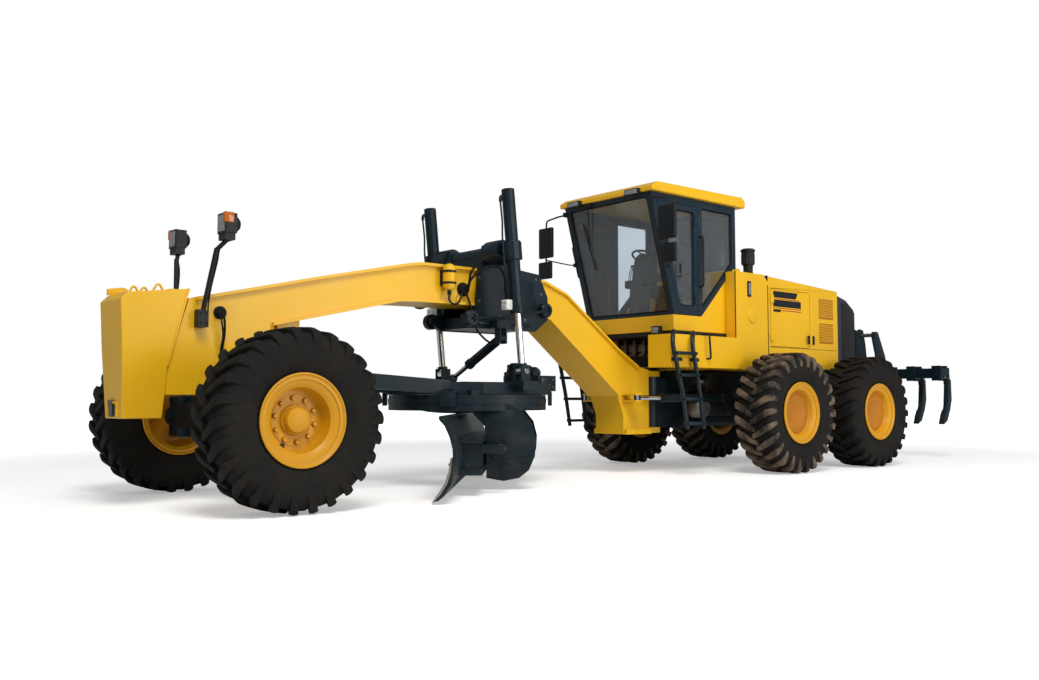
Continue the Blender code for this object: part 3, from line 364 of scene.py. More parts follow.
plate_white = paint("plate_white", (0.62, 0.63, 0.62), 0.4, tone=0.04, dust=0.0)
stripe_red = paint("stripe_red", (0.36, 0.018, 0.012), 0.4, tone=0.05, dust=0.0)
cast_steel = paint("cast_steel", (0.16, 0.155, 0.15), 0.42, tone=0.2, dust=0.3, coat=0.0, metallic=0.7,
                   peel=0.5)
worn_steel = paint("worn_steel", (0.30, 0.29, 0.28), 0.38, tone=0.3, dust=0.45, dust_top=0.5, coat=0.0,
                   metallic=0.85, peel=0.5)


# %% bare, clear and soft materials
def metal(name, colour, roughness, streaks):
    """Bright metal, with fine streaks round or along it."""
    made, tree, shader = new_material(name)
    grain = remap_node(tree, noise_node(tree, None, streaks, 3.0), 0.3, 0.7, roughness * 0.7, roughness * 1.4)
    tree.links.new(grain, shader.inputs["Roughness"])
    tint = remap_node(tree, noise_node(tree, None, 2.0, 2.0), 0.3, 0.7)
    darker = tuple(part * 0.86 for part in colour)
    tree.links.new(mix_node(tree, tint, darker, colour), shader.inputs["Base Color"])
    shader.inputs["Metallic"].default_value = 1.0
    return made


def pane(name, colour, roughness, transmission):
    """Clear material: glass, or a lamp's lens."""
    made, tree, shader = new_material(name)
    film = remap_node(tree, noise_node(tree, None, 4.0, 4.0), 0.35, 0.7, roughness, roughness + 0.03)
    tree.links.new(film, shader.inputs["Roughness"])
    shade = remap_node(tree, noise_node(tree, None, 1.2, 2.0), 0.3, 0.7)
    deeper = tuple(part * 0.9 for part in colour)
    tree.links.new(mix_node(tree, shade, deeper, colour), shader.inputs["Base Color"])
    shader.inputs["Transmission Weight"].default_value = transmission
    shader.inputs["IOR"].default_value = 1.45
    return made


rod_chrome = metal("rod_chrome", (0.82, 0.83, 0.85), 0.10, 90.0)
mirror_silver = metal("mirror_silver", (0.88, 0.90, 0.92), 0.03, 12.0)
bright_steel = metal("bright_steel", (0.62, 0.62, 0.63), 0.26, 150.0)
cab_glass = pane("cab_glass", (0.78, 0.84, 0.89), 0.012, 0.97)
clear_lens = pane("clear_lens", (0.90, 0.92, 0.94), 0.06, 0.75)
amber_lens = pane("amber_lens", (0.85, 0.22, 0.02), 0.10, 0.45)
red_lens = pane("red_lens", (0.55, 0.012, 0.01), 0.10, 0.45)


def make_rubber(name, colour, dust_share, dust_colour):
    """Rubber: nearly black, duller where it is scuffed, with road dust caught on it."""
    made, tree, shader = new_material(name)
    scuffs = remap_node(tree, noise_node(tree, None, 14.0, 6.0, 0.65), 0.35, 0.7)
    greyer = tuple(part * 1.9 for part in colour)
    base = mix_node(tree, scuffs, colour, greyer)
    patches = remap_node(tree, noise_node(tree, None, 3.2, 6.0, 0.7), 0.40, 0.62, 0.0, dust_share)
    tree.links.new(mix_node(tree, patches, base, dust_colour), shader.inputs["Base Color"])
    tree.links.new(remap_node(tree, scuffs, 0.0, 1.0, 0.72, 0.9), shader.inputs["Roughness"])
    shader.inputs["Specular IOR Level"].default_value = 0.16
    add_bump(tree, shader, noise_node(tree, None, 120.0, 4.0, 0.6), 0.35, 0.002)
    return made


tread_rubber = make_rubber("tread_rubber", (0.0060, 0.0056, 0.0052), 0.30, (0.028, 0.022, 0.016))
dusty_rubber = make_rubber("dusty_rubber", (0.012, 0.011, 0.010), 0.85, (0.21, 0.155, 0.105))
hose_rubber = make_rubber("hose_rubber", (0.006, 0.006, 0.007), 0.10, (0.03, 0.027, 0.024))
seat_cloth = make_rubber("seat_cloth", (0.030, 0.031, 0.035), 0.2, (0.05, 0.05, 0.055))
print("materials:", len(bpy.data.materials))
# %% [markdown]
# ## A small bench of tools
# Every added piece starts as one of Blender's own primitives and is shaped by edit-mode operators: a cube
# whose edges are bevelled, a circle drawn up ring by ring into a turned part, a disc pressed to an outline
# and extruded into a plate, or a curve with a round bevel for tubes and hoses. Each helper leaves one
# finished mesh at its place, and `settle` names it, gives it its finish and lets it ride on its body.
# %% selection and finishing
def pick(*pieces):
    """Selects only these pieces, the last one active."""
    bpy.ops.object.select_all(action="DESELECT")
    for piece in pieces:
        piece.select_set(True)
        bpy.context.view_layer.objects.active = piece


def in_edit_mode(piece, work):
    """Does some work on the whole piece in edit mode."""
    pick(piece)
    bpy.ops.object.mode_set(mode="EDIT")
    bpy.ops.mesh.select_all(action="SELECT")
    work()
    bpy.ops.object.mode_set(mode="OBJECT")
    return piece


def place_in_mesh(piece):
    pick(piece)
    bpy.ops.object.transform_apply(location=True, rotation=True, scale=True)
    return piece


def joined(pieces):
    """One mesh out of several."""
    pick(*pieces)
    if len(pieces) > 1:
        bpy.ops.object.join()
    return bpy.context.object


def settle(piece, name, finish, body, smooth=35):
    """Names a piece, smooths its shallow edges, gives it its finish and lets it ride on its body."""
    if isinstance(piece, list):
        piece = joined(piece)
    place_in_mesh(piece)
    if smooth:
        bpy.ops.object.shade_smooth_by_angle(angle=math.radians(smooth))
    piece.name = name
    piece.data.name = name
    piece.data.materials.clear()
    piece.data.materials.append(finish)
    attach(piece, body)
    return piece


def copied(piece, matrix):
    """Another piece with its own mesh, moved by a matrix; a mirrored one is turned the right way out."""
    again = bpy.data.objects.new(piece.name + "_again", piece.data.copy())
    scene.collection.objects.link(again)
    again.data.transform(matrix)
    if matrix.determinant() < 0:
        again.data.flip_normals()
    return again


MIRROR = Matrix.Diagonal((1, -1, 1, 1))


def both_sides(piece, name, finish, body, smooth=35):
    """The piece on the left and its mirror image on the right. A body's name may hold SIDE."""
    if isinstance(piece, list):
        piece = joined(piece)
    place_in_mesh(piece)
    right = copied(piece, MIRROR)
    settle(right, name + "_right", finish, body.replace("SIDE", "right"), smooth)
    return settle(piece, name + "_left", finish, body.replace("SIDE", "left"), smooth)


# %% solid shapes
def box(low, high, bevel=0.004, segments=2):
    """A cube set to two corners, with its edges bevelled."""
    low, high = Vector(low), Vector(high)
    pick()
    bpy.ops.mesh.primitive_cube_add(size=1, location=(low + high) / 2, scale=high - low)
    piece = place_in_mesh(bpy.context.object)
    if bevel:
        in_edit_mode(piece, lambda: bpy.ops.mesh.bevel(offset=bevel, segments=segments, affect="EDGES"))
    return piece


def turn_to(axis):
    """The rotation that takes +Z to this axis, as a 4 by 4 matrix."""
    return Vector(axis).to_track_quat("Z", "Y").to_matrix().to_4x4()


def turned(profile, centre=(0, 0, 0), axis=(0, 0, 1), sides=32):
    """A ring drawn up ring by ring: pairs of radius and distance along the axis. Its ends are closed flat."""
    radius, along = profile[0]
    pick()
    bpy.ops.mesh.primitive_circle_add(vertices=sides, radius=radius, location=(0, 0, along), fill_type="NGON")
    piece = place_in_mesh(bpy.context.object)
    bpy.ops.object.mode_set(mode="EDIT")
    bpy.ops.mesh.select_all(action="SELECT")
    for next_radius, next_along in profile[1:]:
        bpy.ops.mesh.extrude_region_move(TRANSFORM_OT_translate={"value": (0, 0, next_along - along)})
        share = next_radius / radius
        bpy.ops.transform.resize(value=(share, share, 1), center_override=(0, 0, next_along))
        radius, along = next_radius, next_along
    bpy.ops.mesh.select_all(action="SELECT")
    bpy.ops.mesh.normals_make_consistent(inside=False)
    bpy.ops.object.mode_set(mode="OBJECT")
    piece.data.transform(Matrix.Translation(Vector(centre)) @ turn_to(axis))
    return piece


def ring_of(profile, centre=(0, 0, 0), axis=(0, 0, 1), sides=48):
    """A closed profile turned into a ring: the last ring is the first one again."""
    piece = turned(list(profile) + [profile[0]], sides=sides)
    pick(piece)
    bpy.ops.object.mode_set(mode="EDIT")
    bpy.ops.mesh.select_all(action="DESELECT")
    work = bmesh.from_edit_mesh(piece.data)
    for face in work.faces:
        face.select = len(face.verts) > 4
    bmesh.update_edit_mesh(piece.data)
    bpy.ops.mesh.delete(type="ONLY_FACE")
    bpy.ops.mesh.select_all(action="SELECT")
    bpy.ops.mesh.remove_doubles(threshold=0.00002)
    bpy.ops.mesh.normals_make_consistent(inside=False)
    bpy.ops.object.mode_set(mode="OBJECT")
    piece.data.transform(Matrix.Translation(Vector(centre)) @ turn_to(axis))
    return piece


def plate(outline, origin, across, upward, thickness, bevel=0.003):
    """A disc pressed to an outline and extruded. The outline is drawn along two directions from an origin."""
    pick()
    bpy.ops.mesh.primitive_circle_add(vertices=len(outline), radius=1, fill_type="NGON")
    piece = bpy.context.object
    across, upward = Vector(across).normalized(), Vector(upward).normalized()
    for corner, (a, b) in zip(piece.data.vertices, outline):
        corner.co = Vector(origin) + across * a + upward * b
    piece.location = (0, 0, 0)
    outward = across.cross(upward) * thickness

    def draw_out():
        bpy.ops.mesh.extrude_region_move(TRANSFORM_OT_translate={"value": outward})
        bpy.ops.mesh.select_all(action="SELECT")
        bpy.ops.mesh.normals_make_consistent(inside=False)
        if bevel:
            bpy.ops.mesh.bevel(offset=bevel, segments=2, affect="EDGES")
    return in_edit_mode(piece, draw_out)


# %% tubes, hoses and bolts
def tube(points, radius, bend=0.0, sides=4, turns=6):
    """A round tube through points. A bend radius rounds its corners, and without one it flows freely."""
    curve = bpy.data.curves.new("tube", "CURVE")
    curve.dimensions = "3D"
    curve.bevel_depth = radius
    curve.bevel_resolution = sides
    curve.use_fill_caps = True
    places = [Vector(point) for point in points]
    if bend:
        places = rounded_route(places, bend, turns)
        line = curve.splines.new("POLY")
        line.points.add(len(places) - 1)
        for target, place in zip(line.points, places):
            target.co = (*place, 1)
    else:
        line = curve.splines.new("BEZIER")
        line.bezier_points.add(len(places) - 1)
        for target, place in zip(line.bezier_points, places):
            target.co = place
            target.handle_left_type = target.handle_right_type = "AUTO"
        curve.resolution_u = turns
    piece = bpy.data.objects.new("tube", curve)
    scene.collection.objects.link(piece)
    pick(piece)
    bpy.ops.object.convert(target="MESH")
    piece = bpy.context.object

    def close():
        bpy.ops.mesh.remove_doubles(threshold=0.00005)
        bpy.ops.mesh.normals_make_consistent(inside=False)
    return in_edit_mode(piece, close)


def rounded_route(places, bend, turns):
    """A route of straight runs with an arc at each corner."""
    route = [places[0]]
    for before, corner, after in zip(places, places[1:], places[2:]):
        inward, outward = (before - corner), (after - corner)
        cut = min(bend, inward.length * 0.45, outward.length * 0.45)
        first = corner + inward.normalized() * cut
        last = corner + outward.normalized() * cut
        for i in range(turns + 1):
            share = i / turns
            route.append(first.lerp(corner, share).lerp(corner.lerp(last, share), share))
    return route + [places[-1]]


def bolt_set(places, axis, size=0.016, height=None):
    """Hexagon bolt heads on washers, modelled once and copied to every place."""
    height = height or size * 0.7
    washer = turned([(size * 1.15, 0), (size * 1.15, height * 0.2)], sides=12)
    head = turned([(size, height * 0.15), (size, height * 0.85), (size * 0.8, height)], sides=6)
    first = joined([washer, head])
    lay = turn_to(axis)
    copies = [copied(first, Matrix.Translation(Vector(place)) @ lay) for place in places]
    bpy.data.objects.remove(first)
    return joined(copies)


print("bench ready")

# %% [markdown]
# ## The frame's own pieces in their finishes
# The frame's flat-sided solids are right in size and place. Folded and welded steel has no razor edges
# though, so most of them are shown as a copy whose edges are rounded by a Bevel modifier, which catches a
# thin line of light along every fold. Glass, and pieces too slim to round, just take a better finish.
# %% which body carries which node
body_of_node = {}
for body_name, members in frame["record"]["behaviour"]["bodies"].items():
    for member in members:
        body_of_node[member] = body_name


def finished(node, finish):
    """A frame piece as it is, in a better finish."""
    mesh = frame["nodes"][node].data
    mesh.materials.clear()
    mesh.materials.append(finish)


def rounded(node, finish, edge, segments=2):
    """A copy of a frame piece with rounded edges, which stands for it."""
    piece = bpy.data.objects.new(node + "_rounded", frame["nodes"][node].data.copy())
    scene.collection.objects.link(piece)

    def clean():
        bpy.ops.mesh.remove_doubles(threshold=0.0001)
        bpy.ops.mesh.dissolve_limited(angle_limit=math.radians(0.6))
    in_edit_mode(piece, clean)
    bevel = piece.modifiers.new("rounding", "BEVEL")
    bevel.width = edge
    bevel.segments = segments
    bevel.limit_method = "ANGLE"
    bevel.angle_limit = math.radians(28)
    bevel.use_clamp_overlap = True
    bevel.miter_outer = "MITER_ARC"
    pick(piece)
    bpy.ops.object.modifier_apply(modifier=bevel.name)
    settle(piece, node + "_rounded", finish, body_of_node[node], smooth=32)
    flatter = piece.modifiers.new("flat faces stay flat", "WEIGHTED_NORMAL")
    flatter.keep_sharp = True
    flatter.weight = 100
    bpy.ops.object.modifier_apply(modifier=flatter.name)
    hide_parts(node)
    return piece


SIDES = ("left", "right")
ROUNDED = {     # frame piece: its finish and the radius of its edges
    "rear_frame": (frame_blue, 0.006), "cab_base": (body_yellow, 0.008), "cab_roof": (body_yellow, 0.012),
    "tank_module": (body_yellow, 0.012), "engine_hood": (body_yellow, 0.012),
    "radiator_cowl": (cowl_grey, 0.030), "engine_block": (engine_grey, 0.015),
    "front_frame": (body_yellow, 0.006), "front_block": (body_yellow, 0.010),
           "front_axle": (frame_blue, 0.008),
    "lift_saddle": (frame_blue, 0.008), "drawbar": (frame_blue, 0.006), "circle": (frame_blue, 0.005),
    "moldboard": (frame_blue, 0.004), "ripper_frame": (frame_blue, 0.006), "cab_shell": (cab_blue, 0.006),
    "exhaust_stack": (soot_black, 0.004), "control_console": (trim_charcoal, 0.010),
}
for side in SIDES:
    ROUNDED["tandem_case_" + side] = (frame_blue, 0.012)
    ROUNDED["cab_door_" + side] = (cab_blue, 0.005)
    ROUNDED["hood_door_" + side] = (body_yellow, 0.004)
    ROUNDED["knuckle_" + side] = (frame_blue, 0.006)
    ROUNDED["lamp_post_" + side] = (plastic_black, 0.004)
for node, (finish, edge) in ROUNDED.items():
    rounded(node, finish, edge)

PLAIN = {"windscreen": cab_glass, "rear_window": cab_glass, "steer_rod": rod_chrome,
         "shift_barrel": frame_blue, "shift_rod": rod_chrome,
         "ripper_barrel": frame_blue, "ripper_rod": rod_chrome}
for side in SIDES:
    PLAIN["quarter_window_" + side] = cab_glass
    PLAIN["door_glass_" + side] = cab_glass
    PLAIN["artic_barrel_" + side] = frame_blue
    PLAIN["artic_rod_" + side] = rod_chrome
    PLAIN["lift_barrel_" + side] = frame_blue
    PLAIN["lift_rod_" + side] = rod_chrome
for node, finish in PLAIN.items():
    finished(node, finish)
print(len(ROUNDED), "pieces rounded,", len(PLAIN), "refinished")
# %% [markdown]
# ## Tyres
# Grader tyres have heavy bars that run from the shoulder to the middle of the tread and lean forward, left
# and right in turn, so that mud is squeezed out. A texture can't make that outline, so the bars are real:
# one bar is a small grid bent over the tyre's crown and shoulder and drawn down into the carcass, and it is
# copied round both sides. The wheel is built once about its own axle and copied to all six places.
# %% carcass and bars
TYRE_RADIUS = (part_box("tyre_front_left")[1].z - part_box("tyre_front_left")[0].z) / 2
BAR_COUNT = 26
BAR_DEPTH = 0.046
ALONG_AXLE = (0, 1, 0)

CARCASS = [(0.330, 0.205), (0.392, 0.212), (0.402, 0.224), (0.425, 0.228), (0.438, 0.238), (0.500, 0.250),
           (0.565, 0.258), (0.615, 0.257), (0.660, 0.246), (TYRE_RADIUS - BAR_DEPTH, 0.215),
           (TYRE_RADIUS - BAR_DEPTH + 0.004, 0.10)]
carcass_profile = CARCASS + [(radius, -along) for radius, along in reversed(CARCASS)]
carcass = ring_of(carcass_profile, axis=ALONG_AXLE, sides=72)

# One bar: distance from the tyre's middle, height of its top, how far round it has leaned, half its width.
BAR_STATIONS = [(0.2590, 0.575, -0.020, 0.034), (0.2640, 0.640, -0.012, 0.045), (0.2600, 0.690, 0.000, 0.050),
                (0.2440, 0.728, 0.012, 0.054), (0.2050, 0.7435, 0.034, 0.056),
                (0.1400, TYRE_RADIUS, 0.078, 0.055),
                (0.0700, TYRE_RADIUS, 0.132, 0.049), (-0.0150, 0.7435, 0.185, 0.038)]
BAR_ROWS = 4


def make_bar():
    """A grid laid over the crown, then drawn down into the carcass."""
    pick()
    bpy.ops.mesh.primitive_grid_add(x_subdivisions=BAR_ROWS - 1, y_subdivisions=len(BAR_STATIONS) - 1, size=2)
    piece = bpy.context.object
    top = [None] * len(piece.data.vertices)
    for index, corner in enumerate(piece.data.vertices):
        station = round((corner.co.y + 1) / 2 * (len(BAR_STATIONS) - 1))
        across = corner.co.x
        along, radius, lean, half = BAR_STATIONS[station]
        turn = lean + across * half
        edge_drop = 0.007 * abs(across) ** 3
        top[index] = (radius - edge_drop, turn, along)
    for corner, (radius, turn, along) in zip(piece.data.vertices, top):
        corner.co = (radius * math.sin(turn), along, radius * math.cos(turn))
    bpy.ops.object.mode_set(mode="EDIT")
    bpy.ops.mesh.select_all(action="SELECT")
    bpy.ops.mesh.extrude_region_move(TRANSFORM_OT_translate={"value": (0, 0, 0)})
    work = bmesh.from_edit_mesh(piece.data)
    for corner in work.verts:
        if corner.select:
            length = math.hypot(corner.co.x, corner.co.z)
            share = (length - BAR_DEPTH - 0.012) / length
            corner.co = (corner.co.x * share, corner.co.y * 0.90, corner.co.z * share)
    bmesh.update_edit_mesh(piece.data)
    bpy.ops.mesh.select_all(action="SELECT")
    bpy.ops.mesh.normals_make_consistent(inside=False)
    bpy.ops.object.mode_set(mode="OBJECT")
    return piece


first_bar = make_bar()
other_bar = copied(first_bar, MIRROR)
bars = []
for i in range(BAR_COUNT):
    step = 2 * math.pi / BAR_COUNT
    bars.append(copied(first_bar, Matrix.Rotation(i * step, 4, "Y")))
    bars.append(copied(other_bar, Matrix.Rotation((i + 0.5) * step, 4, "Y")))
tread = joined(bars)
for helper in (first_bar, other_bar):
    bpy.data.objects.remove(helper)
print("tread faces", len(tread.data.polygons))

# %% [markdown]
# ## Rims
# The outer flange, the bead seat and the dished disc are one turned part. The front wheels carry their
# nuts round a domed hub cap. The driven wheels are bolted on from inside, so their dish is plain.
# %% rims
RIM_EDGE = [(0.378, 0.2225), (0.379, 0.231), (0.374, 0.237), (0.366, 0.237), (0.358, 0.226), (0.340, 0.216),
            (0.300, 0.206), (0.286, 0.198)]
RIM_BACK = [(0.300, -0.190), (0.340, -0.216), (0.366, -0.237), (0.378, -0.231), (0.378, -0.2225),
            (0.329, -0.2225),
            (0.326, -0.19), (0.326, 0.19), (0.329, 0.2225)]


def rim_profile(dish, face, hub):
    """The rim's closed section. Dish is the disc's radius, and face how far out the disc lies."""
    front = [(dish, 0.180), (dish - 0.008, face + 0.020), (dish - 0.020, face), (hub, face)]
    behind = [(hub, face - 0.016), (dish - 0.012, face - 0.016), (0.290, -0.150)]
    return RIM_EDGE + front + behind + RIM_BACK


HUB = 0.10
front_rim = ring_of(rim_profile(0.262, 0.060, HUB), axis=ALONG_AXLE, sides=64)
hub_cap = turned([(0.125, 0.040), (0.125, 0.072), (0.118, 0.082), (0.108, 0.084), (0.106, 0.118),
                  (0.096, 0.136),
                  (0.070, 0.146), (0.030, 0.150)], axis=ALONG_AXLE, sides=40)
nut_places = []
NUT_COUNT = 10
for i in range(NUT_COUNT):
    angle = 2 * math.pi * i / NUT_COUNT
    nut_places.append((0.178 * math.sin(angle), 0.060, 0.178 * math.cos(angle)))
front_nuts = bolt_set(nut_places, ALONG_AXLE, size=0.019, height=0.030)
nut_plate = ring_of([(0.205, 0.058), (0.203, 0.066), (0.150, 0.066), (0.148, 0.058)], axis=ALONG_AXLE,
                    sides=48)
hand_hole = turned([(0.022, 0.0), (0.022, 0.0035)], (0.125, 0.060, -0.190), ALONG_AXLE, sides=16)
valve = tube([(0.24, 0.06, -0.04), (0.262, 0.12, -0.045), (0.268, 0.165, -0.046)], 0.006, sides=2)
front_body = joined([front_rim, hub_cap, nut_plate])

REAR_FACE = 0.125
rear_rim = ring_of(rim_profile(0.276, REAR_FACE, HUB), axis=ALONG_AXLE, sides=64)
DISH = [(0.268, -0.006), (0.268, 0.006), (0.246, 0.016), (0.200, 0.020), (0.150, 0.020), (0.140, 0.014)]
rear_dish = turned([(radius, REAR_FACE + out) for radius, out in DISH], axis=ALONG_AXLE, sides=64)

# %% the six wheels
WHEELS = [(place, side) for place in ("front", "middle", "rear") for side in SIDES]
for place, side in WHEELS:
    low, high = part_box(f"tyre_{place}_{side}")
    centre = (low + high) / 2
    turn = 0.11 * (1 + WHEELS.index((place, side)))
    mirror = Matrix.Identity(4) if side == "left" else MIRROR
    seat = Matrix.Translation(centre) @ mirror @ Matrix.Rotation(turn, 4, "Y")
    body = f"wheel_{place}_{side}"
    dusty = place == "middle" or (place, side) == ("rear", "right")
    skin = settle(copied(carcass, seat), f"tyre_carcass_{place}_{side}", tread_rubber, body, smooth=50)
    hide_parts(f"tyre_{place}_{side}")
    settle(copied(tread, seat), f"tyre_bars_{place}_{side}", dusty_rubber if dusty else tread_rubber, body,
           smooth=40)
    if place == "front":
        ring = settle(copied(front_body, seat), f"rim_body_{place}_{side}", wheel_yellow, body)
        settle(copied(front_nuts, seat), f"wheel_nuts_{place}_{side}", wheel_yellow, body, smooth=30)
        settle(copied(valve, seat), f"valve_{place}_{side}", plastic_black, body)
        settle(copied(hand_hole, seat), f"hand_hole_{place}_{side}", plastic_black, body)
    else:
        ring = settle(copied(rear_rim, seat), f"rim_body_{place}_{side}", wheel_yellow, body)
        # The dish takes the darker copy of the yellow: painted shade in the rim's deep dish.
        settle(copied(rear_dish, seat), f"rim_dish_{place}_{side}", wheel_orange, body)
    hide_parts(f"rim_{place}_{side}")
for helper in (carcass, tread, front_body, front_nuts, valve, hand_hole, rear_rim, rear_dish):
    bpy.data.objects.remove(helper)
print("six wheels on")

# %% [markdown]
# ## The cab's trim
# Rubber seals lie round every window, a wiper rests on the windscreen, and grab rails stand by the doors.
# The mirrors hang on bent tubes from the front corners of the roof, clear of the doors' swing.
# %% places on the leaning windscreen
SCREEN_LOW, SCREEN_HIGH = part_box("windscreen")
GLASS_FACE = SCREEN_LOW.x + 0.008 - TANDEM_X      # the glass's front face at its lower edge
LEAN = (SCREEN_HIGH.x - TANDEM_X - GLASS_FACE) / (SCREEN_HIGH.z - SCREEN_LOW.z)


def on_screen(y, z, off=0.0):
    """A place this far in front of the windscreen."""
    return spot(GLASS_FACE + LEAN * (z - SCREEN_LOW.z) + off, y, z)


def along(points):
    return [spot(*point) for point in points]


# %% window seals
SEAL = 0.009
corners = [(-0.655, 1.98), (0.655, 1.98), (0.655, 3.325), (-0.655, 3.325)]
screen_seal = tube([on_screen(y, z, 0.008) for y, z in corners + corners[:1]], SEAL, bend=0.05)
settle(screen_seal, "windscreen_seal", hose_rubber, "chassis")
rear_corners = [(-0.595, 2.645), (0.595, 2.645), (0.595, 3.295), (-0.595, 3.295)]
rear_seal = tube([spot(1.132, y, z) for y, z in rear_corners + rear_corners[:1]], SEAL, bend=0.05)
settle(rear_seal, "rear_window_seal", hose_rubber, "chassis")
SIDE_LIGHTS = {     # the corners of each side window, as x and z, and the body that holds it
    "door_seal": ([(1.962, 2.057), (2.203, 2.057), (2.530, 3.213), (1.962, 3.213)], "cab_door_SIDE_body"),
    "quarter_seal": ([(1.207, 2.643), (1.793, 2.057), (1.793, 3.283), (1.207, 3.283)], "chassis"),
}
for name, (corners, body) in SIDE_LIGHTS.items():
    route = [spot(x, 0.726, z) for x, z in corners + corners[:1]]
    both_sides(tube(route, SEAL - 0.002, bend=0.05), name, hose_rubber, body)

# %% wiper
wiper_motor = box(spot(2.668, -0.40, 3.335), spot(2.775, -0.24, 3.383), 0.010)
wiper_arm = tube([on_screen(-0.32, 3.345, 0.045), on_screen(-0.335, 3.20, 0.040),
                  on_screen(-0.44, 2.86, 0.030)], 0.008)
wiper_blade = tube([on_screen(-0.47, 3.16, 0.018), on_screen(-0.44, 2.86, 0.018),
                    on_screen(-0.41, 2.56, 0.018)], 0.009)
settle([wiper_motor, wiper_arm, wiper_blade], "wiper", plastic_black, "chassis")

# %% grab rails and door handles
rail = tube(along([(1.842, 0.735, 2.30), (1.842, 0.795, 2.31), (1.842, 0.795, 2.92), (1.842, 0.735, 2.93)]),
            0.013, bend=0.03)
both_sides(rail, "door_rail", plastic_black, "chassis")
pillar_rail = tube([on_screen(0.735, 2.50, -0.022), on_screen(0.790, 2.51, -0.022),
                    on_screen(0.790, 2.90, -0.022), on_screen(0.735, 2.91, -0.022)], 0.009, bend=0.03)
both_sides(pillar_rail, "pillar_rail", plastic_black, "chassis")
grip = box(spot(2.215, 0.738, 2.44), spot(2.235, 0.765, 2.56), 0.006)
catch = turned([(0.020, 0), (0.020, 0.012), (0.012, 0.016)], spot(2.225, 0.739, 2.40), (0, 1, 0), sides=16)
both_sides([grip, catch], "door_handle", plastic_black, "cab_door_SIDE_body")

# %% mirrors
MIRROR_X = 2.80
arm = tube(along([(2.730, 0.735, 3.30), (2.790, 0.80, 3.285), (MIRROR_X, 1.035, 3.255),
                  (MIRROR_X, 1.045, 3.05),
                  (MIRROR_X, 1.045, 2.56)]), 0.011, bend=0.04)
stay = tube(along([(2.560, 0.735, 2.66), (2.60, 0.80, 2.665), (MIRROR_X, 1.030, 2.735)]), 0.008, bend=0.04)
foot = box(spot(2.700, 0.738, 3.275), spot(2.765, 0.760, 3.335), 0.005)
low_foot = box(spot(2.545, 0.738, 2.635), spot(2.585, 0.758, 2.685), 0.005)
both_sides([arm, stay, foot, low_foot], "mirror_arm", plastic_black, "chassis")
big = box(spot(MIRROR_X - 0.028, 0.915, 2.765), spot(MIRROR_X + 0.024, 1.175, 3.165), 0.020, 3)
small = box(spot(MIRROR_X - 0.028, 0.940, 2.490), spot(MIRROR_X + 0.024, 1.180, 2.715), 0.020, 3)
both_sides([big, small], "mirror_shell", plastic_black, "chassis")
big_face = box(spot(MIRROR_X - 0.031, 0.932, 2.782), spot(MIRROR_X - 0.027, 1.158, 3.148), 0.001, 1)
small_face = box(spot(MIRROR_X - 0.031, 0.957, 2.507), spot(MIRROR_X - 0.027, 1.163, 2.698), 0.001, 1)
both_sides([big_face, small_face], "mirror_face", mirror_silver, "chassis")


# %% work lamps
def work_lamp(low, high, way, lens_bevel=0.008):
    """A square lamp: a shell between two corners with a lens in its face. The way is +1 forward, -1 back."""
    shell = box(low, high, 0.010, 3)
    front = high.x if way > 0 else low.x
    edge = 0.014
    lens = box((front - 0.006, low.y + edge, low.z + edge), (front + 0.006, high.y - edge, high.z - edge),
               0.005)
    return shell, lens


roof_lamp, roof_lens = work_lamp(spot(2.765, 0.39, 3.352), spot(2.835, 0.61, 3.432), 1)
both_sides(roof_lamp, "roof_lamp", plastic_black, "chassis")
both_sides(roof_lens, "roof_lens", clear_lens, "chassis")
low_lamp, low_lens = work_lamp(spot(2.355, 0.44, 1.70), spot(2.425, 0.57, 1.80), 1)
lamp_stem = box(spot(2.335, 0.48, 1.74), spot(2.365, 0.53, 1.775), 0.004)
both_sides([low_lamp, lamp_stem], "step_lamp", plastic_black, "chassis")
both_sides(low_lens, "step_lens", clear_lens, "chassis")
back_lamp, back_lens = work_lamp(spot(0.945, 0.42, 3.40), spot(0.995, 0.60, 3.475), -1)
both_sides(back_lamp, "rear_roof_lamp", plastic_black, "chassis")
both_sides(back_lens, "rear_roof_lens", clear_lens, "chassis")
bulge = turned([(0.065, 0), (0.065, 0.018), (0.050, 0.030), (0.050, 0.085), (0.044, 0.100), (0.025, 0.112)],
               spot(1.30, 0.35, 3.508), (0, 0, 1), sides=24)
settle(bulge, "beacon", amber_lens, "chassis")

# %% the driver's place
wheel_centre = spot(2.00, 0, 2.735)
wheel_way = Vector((-0.42, 0, 1)).normalized()
rim_profile_points = []
for i in range(10):
    angle = 2 * math.pi * i / 10
    rim_profile_points.append((0.185 + 0.014 * math.cos(angle), 0.014 * math.sin(angle)))
steering_rim = ring_of(rim_profile_points, wheel_centre, wheel_way, sides=40)
spokes = [tube([wheel_centre, wheel_centre + turn_to(wheel_way) @ Vector((0.18 * math.cos(a),
                                                                          0.18 * math.sin(a), 0.0))],
               0.010) for a in (math.radians(90), math.radians(210), math.radians(330))]
boss = turned([(0.045, -0.03), (0.045, 0.012), (0.030, 0.020)], wheel_centre, wheel_way, sides=20)
column = tube([wheel_centre - wheel_way * 0.02, wheel_centre - wheel_way * 0.10], 0.022)
settle([steering_rim, boss, column] + spokes, "steering_wheel", plastic_black, "chassis")
levers = []
for i in range(4):
    y = 0.125 + 0.032 * i
    levers.append(tube(along([(2.10, y, 2.42), (2.075, y, 2.56), (2.045, y, 2.62)]), 0.006))
    levers.append(turned([(0.008, 0), (0.014, 0.012), (0.014, 0.030), (0.008, 0.042)],
                         spot(2.045, y, 2.615), (-0.3, 0, 1), sides=12))
levers.append(box(spot(2.06, 0.095, 2.34), spot(2.16, 0.240, 2.44), 0.012))
both_sides(levers, "levers", plastic_black, "chassis")
mat = box(spot(1.20, -0.66, 1.936), spot(2.26, 0.66, 1.946), 0.003, 1)
